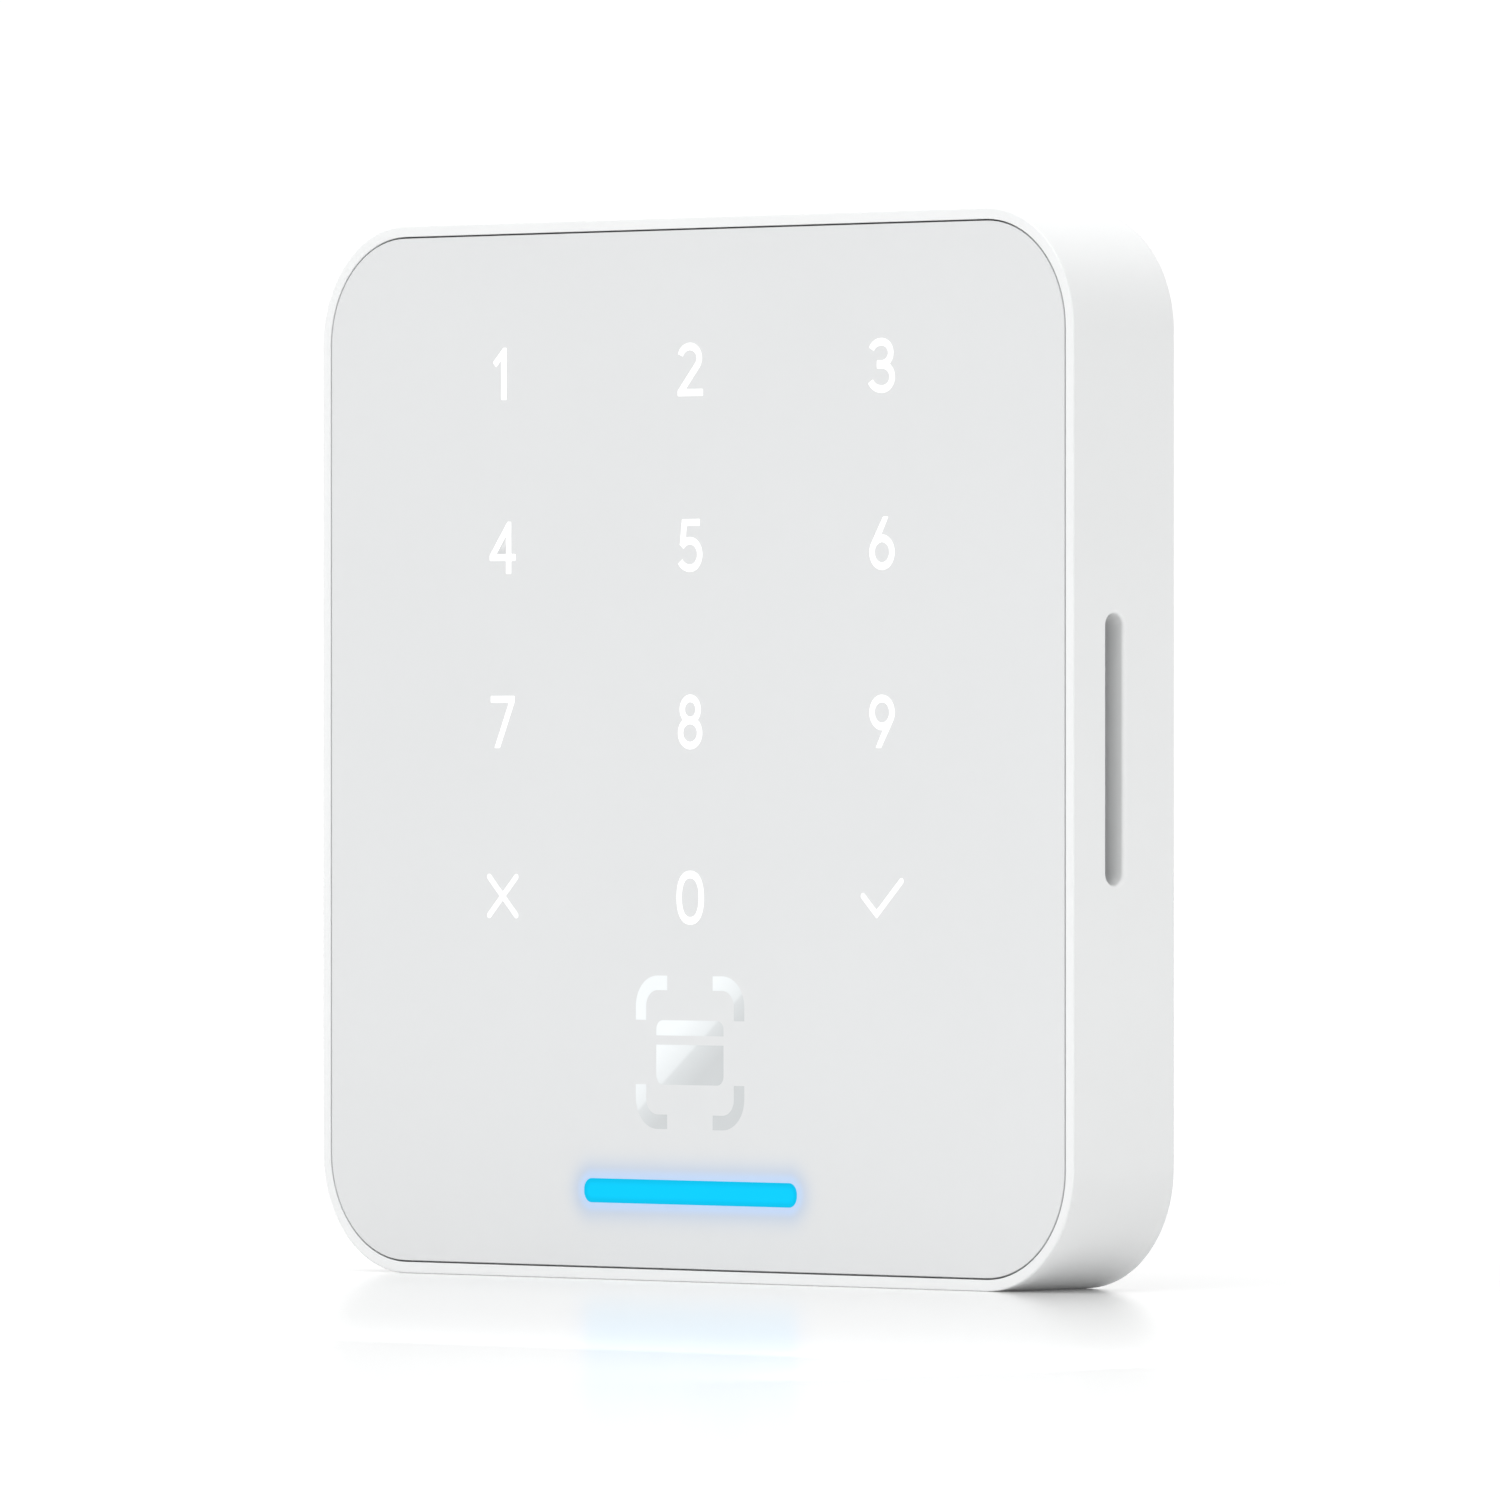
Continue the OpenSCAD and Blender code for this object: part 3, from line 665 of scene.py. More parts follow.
def board_finish():
    """Solder resist over copper: fine buses, filled areas and plated dots show through the green."""
    base = colours().board
    finish = Finish("board_resist", base, 0.32, Specular_IOR_Level=0.6)
    choice = finish.noise(9 * MM, 1.0)
    across = finish.spread(finish.wave(finish.axes["X"], 0.5 * MM), 0.14 * MM, 0.18 * MM, 1.0, 0.0)
    along = finish.spread(finish.wave(finish.axes["Z"], 0.5 * MM), 0.14 * MM, 0.18 * MM, 1.0, 0.0)
    upright = finish.times(across, finish.spread(choice, 0.54, 0.55))
    level = finish.times(along, finish.spread(choice, 0.44, 0.45, 1.0, 0.0))
    tracks = finish.most(upright, level)
    cell = {"Vector": finish.place, "Scale": 1 / (3.2 * MM)}
    dots = finish.node("ShaderNodeTexVoronoi", cell).outputs["Distance"]
    via = finish.spread(dots, 0.09, 0.11, 1.0, 0.0)
    resist = finish.mix(finish.times(tracks, 0.7), shade(base, 0.8), shade(base, 1.9))
    finish.base(finish.mix(via, resist, (0.55, 0.50, 0.32)))
    finish.bump(finish.most(tracks, via), 0.03 * MM)
    return finish


def weave_finish():
    """Fine woven mesh of dark thread."""
    finish = Finish("mesh_woven", (0.03, 0.03, 0.035), 0.7)
    half_pitch = 0.09 * MM
    thread = finish.most(finish.wave(finish.axes["Y"], half_pitch), finish.wave(finish.axes["Z"], half_pitch))
    open_part = finish.spread(thread, 0.04 * MM, 0.07 * MM, soft=True)
    finish.base(finish.mix(open_part, (0.004, 0.004, 0.005), (0.06, 0.06, 0.065)))
    finish.bump(thread, 0.05 * MM)
    return finish


def film_finish():
    """Clear film with a printed lattice of sensing pads."""
    finish = Finish("film_clear", (0.85, 0.87, 0.8), 0.25, Transmission_Weight=0.4)
    pitch = 3 * MM
    lattice = finish.plus(finish.wave(finish.axes["X"], pitch), finish.wave(finish.axes["Z"], pitch))
    line = finish.spread(finish.size(finish.minus(lattice, pitch)), 0.1 * MM, 0.2 * MM, 1.0, 0.0)
    finish.base(finish.mix(line, (0.86, 0.87, 0.80), (0.62, 0.66, 0.60)))
    return finish


def label_finish():
    """Blank label stock with a thin printed border and ruled lines."""
    finish = Finish("label_stock", (0.88, 0.88, 0.87), 0.35)
    x, z, width, height, _, _ = in_face(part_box("data_label"))
    side = finish.minus(width / 2, finish.size(finish.minus(finish.axes["X"], x)))
    rise = finish.minus(finish.axes["Z"], z + MID_Z)
    edge = finish.least(side, finish.minus(height / 2, finish.size(rise)))
    near = finish.size(finish.minus(edge, 0.8 * MM))
    border = finish.spread(near, 0.08 * MM, 0.12 * MM, 1.0, 0.0)
    rule = finish.wave(finish.plus(rise, 30 * MM), 1.5 * MM)
    ruled = finish.spread(rule, 0.06 * MM, 0.09 * MM, 1.0, 0.0)
    inside = finish.spread(edge, 2.0 * MM, 2.05 * MM)
    ink = finish.most(border, finish.times(ruled, inside))
    paper = finish.mix(finish.noise(0.3 * MM, 4.0), (0.84, 0.84, 0.83), (0.90, 0.90, 0.89))
    finish.base(finish.mix(ink, paper, (0.35, 0.36, 0.37)))
    return finish


def led_finish():
    """Clear resin over a yellow phosphor spot."""
    finish = Finish("led_resin", (0.92, 0.9, 0.75), 0.2)
    spot = finish.spread(finish.noise(0.8 * MM, 1.0), 0.4, 0.6)
    finish.base(finish.mix(spot, (0.92, 0.92, 0.88), (0.85, 0.72, 0.25)))
    return finish


def ferrite_finish():
    """Dark sintered sheet, scored into small tiles."""
    finish = Finish("ferrite_sheet", (0.07, 0.075, 0.08), 0.5)
    nearest = finish.least(finish.wave(finish.axes["X"], 1 * MM), finish.wave(finish.axes["Z"], 1 * MM))
    score = finish.spread(nearest, 0.03 * MM, 0.06 * MM, 1.0, 0.0)
    finish.base(finish.mix(score, (0.075, 0.08, 0.085), (0.03, 0.03, 0.03)))
    finish.bump(score, -0.03 * MM)
    return finish


def give(node, finish):
    """Puts a finish on a CAD node that stays in view."""
    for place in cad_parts[node].material_slots:
        place.material = finish.material


# ---- Operators ----


class READER_OT_stage(bpy.types.Operator):
    """Make the pale floor, the soft surround, the lights and the camera"""

    bl_idname = "reader.stage"
    bl_label = "Stage"

    def execute(self, context):
        studio = context.scene.reader_studio
        self.floor(studio)
        self.surround(context, studio)
        self.lights(context, studio)
        self.camera(context, studio)
        context.scene.view_settings.view_transform = "Standard"
        return {"FINISHED"}

    def floor(self, studio):
        """A glossy floor with painted light: it glows faintly at the reader's foot and more strongly away
        from it, which lifts it to white away from the foot.
        """
        bm = bmesh.new()
        bmesh.ops.create_circle(bm, cap_ends=True, radius=6.0, segments=96)
        mesh = bpy.data.meshes.new("floor")
        bm.to_mesh(mesh)
        bm.free()
        floor = bpy.data.objects.new("floor", mesh)
        bpy.context.scene.collection.objects.link(floor)
        finish = Finish("floor_gloss", studio.floor, 0.15, Specular_IOR_Level=0.5)
        finish.into("Emission Color", (1.0, 1.0, 1.0, 1.0))
        # Painted light: the floor's glow grows with distance from the reader's foot, so the floor stays
        # darker round the foot.
        away = finish.node("ShaderNodeVectorMath", {0: finish.place}, operation="LENGTH").outputs["Value"]
        places = (studio.lift_start, studio.lift_end)
        lift = finish.spread(away, *places, studio.floor_glow, studio.floor_lift, soft=True)
        finish.into("Emission Strength", lift)
        finish.rough(finish.noise(0.3, 2.0), 0.14, 0.16)
        mesh.materials.append(finish.material)

    def surround(self, context, studio):
        """A world that is brightest at the horizon and dims overhead and towards +X."""
        world = bpy.data.worlds.new("surround")
        world.use_nodes = True
        nodes, links = world.node_tree.nodes, world.node_tree.links
        sky = nodes["Background"]
        sky.inputs["Color"].default_value = (*studio.sky, 1.0)
        axes = nodes.new("ShaderNodeSeparateXYZ")
        links.new(nodes.new("ShaderNodeTexCoord").outputs["Generated"], axes.inputs[0])
        both = nodes.new("ShaderNodeMath")
        both.operation = "MULTIPLY"
        height = (0.15, 0.5, studio.horizon, studio.sky_strength)
        side = (0.0, 1.0, 1.0, studio.side_strength)
        for place, (axis, values) in enumerate((("Z", height), ("X", side))):
            step = nodes.new("ShaderNodeMapRange")
            links.new(axes.outputs[axis], step.inputs[0])
            for index, value in enumerate(values, 1):
                step.inputs[index].default_value = value
            links.new(step.outputs[0], both.inputs[place])
        links.new(both.outputs[0], sky.inputs["Strength"])
        context.scene.world = world

    def lights(self, context, studio):
        """A large soft light overhead, and a low strip before the face and beside it."""
        rise, reach = studio.strip_rise, studio.strip_distance
        strip = (studio.strip_length, studio.strip_height)
        above = Vector((0.0, FRONT - 0.28, studio.overhead_height))
        square = (studio.overhead_size, studio.overhead_size)
        self.soft_light(context, "overhead", above, (0.0, FRONT - 0.15, 0.0), square, studio.light_power)
        before = Vector((0.0, FRONT - reach, rise))
        self.soft_light(context, "front_strip", before, (0.0, FRONT, rise), strip, studio.front_power)
        beside = Vector((HALF + reach, 0.0, rise))
        self.soft_light(context, "side_strip", beside, (HALF, 0.0, rise), strip, studio.side_power)

    def soft_light(self, context, name, place, target, size, power):
        data = bpy.data.lights.new(name, "AREA")
        data.shape = "RECTANGLE"
        data.size, data.size_y = size
        data.energy = power
        lamp = bpy.data.objects.new(name, data)
        context.scene.collection.objects.link(lamp)
        lamp.location = place
        lamp.rotation_euler = (place - Vector(target)).to_track_quat("Z", "Y").to_euler()
        lamp.visible_camera = False

    def camera(self, context, studio):
        data = bpy.data.cameras.new("camera")
        data.lens = studio.focal_length
        data.clip_end = 50.0
        camera = bpy.data.objects.new("camera", data)
        context.scene.collection.objects.link(camera)
        aim = Vector((studio.aim_x, FRONT, MID_Z + studio.aim_z))
        away = Vector((math.sin(studio.azimuth), -math.cos(studio.azimuth), 0.0))
        camera.location = aim + away * studio.distance
        camera.rotation_euler = (math.pi / 2, 0.0, studio.azimuth)
        context.scene.camera = camera


class READER_OT_housing(bpy.types.Operator):
    """Build the housing: rim, ledge, walls, screw blocks, sound slot and the security screw's way in"""

    bl_idname = "reader.housing"
    bl_label = "Housing"

    def execute(self, context):
        s = sizes()
        rim, rear = s.rim_edge, s.rear_edge
        rebate = HALF - COVER_HALF - 0.2 * MM
        ledge_back = LEDGE_DEPTH + s.ledge_thickness
        section = quarter(s.front_edge, s.front_edge, s.front_edge, 180)
        section += quarter(s.rim_width - rim, rim, rim, 270)
        section += [(s.rim_width, LEDGE_DEPTH), (s.ledge_width, LEDGE_DEPTH), (s.ledge_width, ledge_back)]
        section += [(WALL, ledge_back), (WALL, SEAL_DEPTH), (rebate, SEAL_DEPTH)]
        section += quarter(rebate - FINE, BODY_DEPTH - FINE, FINE, 0)
        section += quarter(rear, BODY_DEPTH - rear, rear, 90)
        bm = bmesh.new()
        swept(bm, rounded_plate(HALF, HALF, s.corner_radius), section, closed=True)
        piece = new_object("housing", bm)
        join(piece, self.bosses(s, ledge_back))
        cut(piece, self.openings(s))
        finish = moulded("housing_white", colours().housing, 0.42, 0.4 * MM, 0.004 * MM, 0.006)
        dressed(piece, finish.material, "reader", ["housing_shell"])
        return {"FINISHED"}

    def bosses(self, s, ledge_back):
        """The four corner blocks that take the cover's screws, and the boss round the security screw."""
        bm = bmesh.new()
        near = HALF - CORNER_BLOCK
        centre = HALF - s.corner_radius
        radius = s.corner_radius - WALL + FINE
        start = math.asin((near - centre) / radius)
        turns = [start + (math.pi / 2 - 2 * start) * i / 12 for i in range(13)]
        arc = [(centre + radius * math.cos(a), centre + radius * math.sin(a)) for a in turns]
        for side_x, side_z in ((1, 1), (-1, 1), (-1, -1), (1, -1)):
            outline = [(side_x * x, side_z * z) for x, z in [(near, near)] + arc]
            skin(bm, [at_depth(outline, ledge_back - FINE), at_depth(outline, SEAL_DEPTH)])
        front = low("ferrite_sheet").y - FRONT + 0.6 * MM
        middle = WALL - HALF - FINE + LOCK_BLOCK_Z
        lock = rounded(LOCK_BLOCK_X, LOCK_BLOCK_Z, 0.4 * MM, 3)
        skin(bm, [at_depth(lock, depth, 0.0, middle) for depth in (front, SEAL_DEPTH)])
        return bm

    def openings(self, s):
        bm = bmesh.new()
        self.slot(bm, s)
        for x, z in centres("cover_screws"):
            post(bm, x, z, PILOT_RADIUS, COVER_DEPTH - 5.8 * MM, COVER_DEPTH + OVER)
        self.screw_way(bm)
        return bm

    def slot(self, bm, s):
        """The sound slot: a round-ended slot through the side wall that flares out at its mouth."""
        radius = s.slot_width / 2
        edge = s.slot_edge
        profile = [(0.0, HALF - WALL - OVER)]
        profile += [(edge * (1 - math.cos(a)), HALF - edge * (1 - math.sin(a))) for a in quarter_turns(8)]
        profile += [(edge, HALF + OVER)]
        rings = []
        for grow, x in profile:
            outline = rounded(radius + grow, s.slot_length / 2 + grow, radius + grow, 16)
            rings.append([Vector((x, FRONT + SLOT_DEPTH + across, MID_Z + up)) for across, up in outline])
        skin(bm, rings)

    def screw_way(self, bm):
        """The stepped hole under the housing for the security screw, its head and its insert."""
        head, shank, insert = 2.9 * MM, 1.6 * MM, 2.1 * MM
        seat = 1.5 * MM
        step = low("threaded_insert").z - 0.2 * MM
        steps = [(head, -OVER), (head, seat), (shank, seat), (shank, step), (insert, step)]
        steps.append((insert, high("threaded_insert").z))
        turned(bm, steps, lambda u, v, along: Vector((u, FRONT + SCREW_DEPTH + v, along)))


def lit_nodes():
    return [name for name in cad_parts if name.startswith("legend_")] + ["status_bar_lens"]


class READER_OT_panel(bpy.types.Operator):
    """Build the touch panel with its pockets for the legends, status light and card symbol"""

    bl_idname = "reader.panel"
    bl_label = "Touch panel"

    def execute(self, context):
        s = sizes()
        bm = bmesh.new()
        outline = rounded_plate(PANEL_HALF, PANEL_HALF, s.corner_radius - (HALF - PANEL_HALF))
        swept(bm, outline, plate_edge(0.0, PANEL_BACK, s.panel_edge, 0.05 * MM))
        piece = new_object("touch_panel", bm)
        pockets = bmesh.new()
        for node in lit_nodes() + ["tap_symbol"]:
            add_node(pockets, node, 0.5 * MM)
        cut(piece, pockets)
        dressed(piece, panel_finish().material, "reader", ["keypad_panel"])
        legend = legend_finish()
        for node in lit_nodes():
            give(node, legend)
        give("status_bar_lens", bar_finish())
        give("tap_symbol", foil_finish())
        return {"FINISHED"}


def wall_screws(s):
    """(x, z) of the holes that the cover and the plate share with the wall screws."""
    up, across = s.screw_span_z / 2, s.screw_span_x / 2
    return [(0.0, -up), (-across, 0.0), (0.0, up), (across, 0.0)]


def tab_places():
    """Where the plate's three tabs pass through the rear cover."""
    half = HALF - 4.2 * MM
    return [(-25 * MM, half), (25 * MM, half), (0.0, -half)]


class READER_OT_rear_cover(bpy.types.Operator):
    """Build the rear cover with its wiring pocket, screw cups and posts"""

    bl_idname = "reader.rear_cover"
    bl_label = "Rear cover"

    def execute(self, context):
        s = sizes()
        bm = bmesh.new()
        outline = rounded_plate(COVER_HALF, COVER_HALF, s.corner_radius - (HALF - COVER_HALF))
        swept(bm, outline, plate_edge(COVER_DEPTH, COVER_BACK, FINE, SOFT))
        piece = new_object("back_cover", bm)
        join(piece, self.posts(s))
        join(piece, self.cups(s))
        cut(piece, self.holes(s))
        finish = moulded("cover_moulded", colours().cover, 0.5, 0.5 * MM, 0.02 * MM)
        dressed(piece, finish.material, "reader", ["rear_cover"])
        return {"FINISHED"}

    def cups(self, s):
        """The four cups that sink the wall screws' heads."""
        bm = bmesh.new()
        front = COVER_BACK - CUP_DEPTH - CUP_FLOOR
        for x, z in wall_screws(s):
            post(bm, x, z, CUP_RADIUS + CUP_WALL, front, COVER_BACK - 0.5 * MM, 0.3 * MM)
        return bm

    def posts(self, s):
        """The skirt round the wiring pocket, the boards' screw posts and the reset button's guide."""
        bm = bmesh.new()
        back = COVER_BACK - 0.5 * MM
        skirt = 1.5 * MM
        pocket_front = high("terminal_seal").y - FRONT
        rim = rounded_plate(s.pocket_half_x + skirt, s.pocket_half_z + skirt, 2.5 * MM, 6)
        swept(bm, rim, plate_edge(pocket_front, back, SOFT, 0.0))
        for x, z in centres("board_spacers"):
            post(bm, x, z, 3 * MM, MAIN_BACK, back, SOFT)
        post(bm, *centre_of("reset_button"), 3.6 * MM, MAIN_BACK + 2.8 * MM, back, SOFT)
        return bm

    def holes(self, s):
        bm = bmesh.new()
        pocket = rounded_plate(s.pocket_half_x, s.pocket_half_z, 1 * MM, 6)
        swept(bm, pocket, bore_edge(MAIN_BACK - OVER, COVER_BACK, 0.0, SOFT))
        for x, z in wall_screws(s):
            swept(bm, round_plate(CUP_RADIUS), blind_edge(COVER_BACK - CUP_DEPTH, COVER_BACK, SOFT), x, z)
        for x, z in centres("board_screws"):
            post(bm, x, z, PILOT_RADIUS, MAIN_BACK - OVER, COVER_DEPTH - 0.6 * MM)
        seat = COVER_BACK - SCREW_SEAT
        shank = 1.1 * MM
        section = [(shank, COVER_DEPTH - OVER), (shank, seat)] + blind_edge(seat, COVER_BACK, SOFT)
        for x, z in centres("cover_screws"):
            swept(bm, round_plate(2.5 * MM), section, x, z)
        slot = bore_edge(COVER_DEPTH, COVER_BACK, SOFT, SOFT)
        for x, z in tab_places():
            swept(bm, rounded_plate(5.1 * MM, 0.9 * MM, 0.3 * MM, 4), slot, x, z)
        swept(bm, round_plate(PLUNGER_HOLE), slot, *centre_of("tamper_plunger"))
        bore = bore_edge(MAIN_BACK, COVER_BACK, 0.0, 0.3 * MM)
        swept(bm, round_plate(BUTTON_HOLE), bore, *centre_of("reset_button"))
        return bm


class READER_OT_wall_plate(bpy.types.Operator):
    """Build the aluminium wall plate with its holes, cable window and three bent tabs"""

    bl_idname = "reader.wall_plate"
    bl_label = "Wall plate"

    def execute(self, context):
        s = sizes()
        front = BODY_DEPTH - s.plate_thickness
        bm = bmesh.new()
        outline = rounded_plate(PLATE_HALF, PLATE_HALF, s.corner_radius - (HALF - PLATE_HALF))
        swept(bm, outline, plate_edge(front, BODY_DEPTH, FINE, FINE))
        piece = new_object("mounting_plate", bm)
        tabs = bmesh.new()
        tab = rounded_plate(4.8 * MM, 0.6 * MM, 0.12 * MM, 3)
        for x, z in tab_places():
            swept(tabs, tab, plate_edge(TAB_DEPTH, BODY_DEPTH - 0.5 * MM, 0.2 * MM, 0.0), x, z)
        join(piece, tabs)
        cut(piece, self.holes(s, front))
        dressed(piece, plate_finish().material, "plate", ["wall_plate"])
        return {"FINISHED"}

    def holes(self, s, front):
        """The cable window, the round holes, and the lower tab's notch for the security screw."""
        bm = bmesh.new()
        edge = 0.12 * MM
        margin = 0.5 * MM
        through = bore_edge(front, BODY_DEPTH, edge, edge)
        swept(bm, rounded_plate(s.pocket_half_x + margin, s.pocket_half_z + margin, 1.5 * MM, 8), through)
        for x, z in wall_screws(s):
            swept(bm, round_plate(s.wall_hole_radius), through, x, z)
        for node, radius in (("tamper_plunger", 3.6 * MM), ("reset_button", 3.0 * MM)):
            swept(bm, round_plate(radius), through, *centre_of(node))
        r, mouth = NOTCH_RADIUS, TAB_DEPTH - OVER
        half_turn = [math.pi * i / 24 for i in range(25)]
        notch = [(r * math.cos(a), SCREW_DEPTH + r * math.sin(a)) for a in half_turn]
        notch = [(r, mouth)] + notch + [(-r, mouth)]
        tab_z = MID_Z + tab_places()[2][1]
        skin(bm, [[Vector((x, FRONT + d, tab_z + up)) for x, d in notch] for up in (-2 * MM, 2 * MM)])
        return bm


class READER_OT_screws(bpy.types.Operator):
    """Build the screws with threads, rounded heads and driver recesses"""

    bl_idname = "reader.screws"
    bl_label = "Screws"

    def execute(self, context):
        finish = metal("screw_zinc", (0.62, 0.62, 0.63), 0.26, relief=0.002 * MM)
        self.rear_screws(finish)
        self.front_screws(finish)
        self.security_screw(finish)
        self.terminal_screws(finish)
        return {"FINISHED"}

    def crosses(self, piece, node, recess):
        """Cuts a cross recess in each head; recess gives its front and back from the screw's own."""
        for across, up in CROSS_ARMS:
            arms = bmesh.new()
            for part in loose_parts(node):
                x, z, _, _, front, back = in_face(part)
                block(arms, x, z, across, up, *recess(front, back), 0.06 * MM)
            cut(piece, arms)

    def rear_screws(self, finish):
        """The rear cover's screws, whose heads face the wall."""
        bm = bmesh.new()
        seat = COVER_BACK - SCREW_SEAT
        for part in loose_parts("cover_screws"):
            x, z, width, _, front, back = in_face(part)
            profile = threaded(front, seat - 0.3 * MM, SCREW_RADIUS)
            profile += [(SCREW_RADIUS, seat), (width / 2, seat)] + domed(width / 2, back, *HEAD_DOME)
            turned(bm, profile, into_face(x, z), SCREW_STEPS)
        piece = new_object("cover_screw_set", bm)
        self.crosses(piece, "cover_screws", lambda front, back: (back - 0.8 * MM, back + 0.5 * MM))
        dressed(piece, finish.material, "reader", ["cover_screws"])

    def front_screws(self, finish):
        """The screws that hold the boards, whose heads face the front."""
        bm = bmesh.new()
        for part in loose_parts("board_screws"):
            x, z, width, _, front, back = in_face(part)
            head = [(r, 2 * front - along) for r, along in domed(width / 2, front, *HEAD_DOME)]
            profile = head[::-1] + [(width / 2, KEY_BOARD), (SCREW_RADIUS, KEY_BOARD)]
            profile += threaded(back, KEY_BOARD + 0.3 * MM, SCREW_RADIUS)[::-1]
            turned(bm, profile, into_face(x, z), SCREW_STEPS)
        piece = new_object("board_screw_set", bm)
        self.crosses(piece, "board_screws", lambda front, back: (front - 0.5 * MM, front + 0.6 * MM))
        dressed(piece, finish.material, "reader", ["board_screws"])

    def security_screw(self, finish):
        """The screw under the housing, with a pin in its six-sided recess."""
        lowest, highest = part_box("security_screw")
        foot = lowest.z
        rim = (highest.x - lowest.x) / 2
        seat = foot + 1.3 * MM
        shank = 1.45 * MM

        def place(u, v, along):
            return Vector((u, FRONT + SCREW_DEPTH + v, along))

        profile = [(rim - 0.25 * MM, foot), (rim - 0.07 * MM, foot + 0.07 * MM), (rim, foot + 0.25 * MM)]
        profile += [(rim, seat), (shank, seat)] + threaded(highest.z, seat + 0.3 * MM, shank)[::-1]
        bm = bmesh.new()
        turned(bm, profile, place)
        piece = new_object("lock_screw", bm)
        recess = bmesh.new()
        turned(recess, [(1.25 * MM, foot - 0.5 * MM), (1.25 * MM, foot + 0.9 * MM)], place, 6)
        cut(piece, recess)
        pin = bmesh.new()
        turned(pin, [(0.33 * MM, foot + FINE), (0.4 * MM, foot + 0.17 * MM), (0.4 * MM, seat)], place, 24)
        join(piece, pin)
        dressed(piece, finish.material, "reader", ["security_screw"])

    def terminal_screws(self, finish):
        """The slotted screws of the terminal block."""
        bm = bmesh.new()
        slots = bmesh.new()
        for part in loose_parts("terminal_screws"):
            x, z, width, _, front, back = in_face(part)
            profile = [(width / 2, front)] + domed(width / 2, back, 0.05 * MM, 0.12 * MM)
            turned(bm, profile, into_face(x, z), SCREW_STEPS)
            block(slots, x, z, width * 1.2, 0.45 * MM, back - 0.4 * MM, back + 0.5 * MM, 0.03 * MM)
        piece = new_object("terminal_screw_set", bm)
        cut(piece, slots)
        dressed(piece, finish.material, "reader", ["terminal_screws"])


class READER_OT_terminals(bpy.types.Operator):
    """Build the terminal block with its screw wells, wire entries and grooves between the ways"""

    bl_idname = "reader.terminals"
    bl_label = "Terminal block"

    def execute(self, context):
        x, z, width, height, front, back = in_face(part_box("terminal_block"))
        bm = bmesh.new()
        block(bm, x, z, width, height, front, back, 0.25 * MM)
        piece = new_object("terminal_housing", bm)
        wells = bmesh.new()
        entries = bmesh.new()
        top = z + height / 2
        entry = rounded(1.1 * MM, 1.3 * MM, 0.25 * MM, 4)
        mouth = rounded(1.3 * MM, 1.5 * MM, 0.35 * MM, 4)
        stages = ((entry, top - 2 * MM), (entry, top - 0.2 * MM), (mouth, top), (mouth, top + OVER))
        middle = FRONT + front + 2.2 * MM
        ways = [in_face(part) for part in loose_parts("terminal_screws")]
        for way_x, way_z, _, _, screw_front, _ in ways:
            swept(wells, round_plate(1.4 * MM), blind_edge(screw_front, back, 0.12 * MM), way_x, way_z)
            rings = []
            for outline, up in stages:
                rings.append([Vector((way_x + u, middle + v, MID_Z + up)) for u, v in outline])
            skin(entries, rings)
        for one, two in zip(ways, ways[1:]):
            groove = ((one[0] + two[0]) / 2, z - height, 0.3 * MM, height * 1.4)
            block(wells, *groove, back - 0.3 * MM, back + OVER, 0.03 * MM)
        cut(piece, wells)
        cut(piece, entries)
        green = moulded("terminal_green", (0.03, 0.25, 0.10), 0.4, spread=0.08)
        dressed(piece, green.material, "reader", ["terminal_block"])
        return {"FINISHED"}


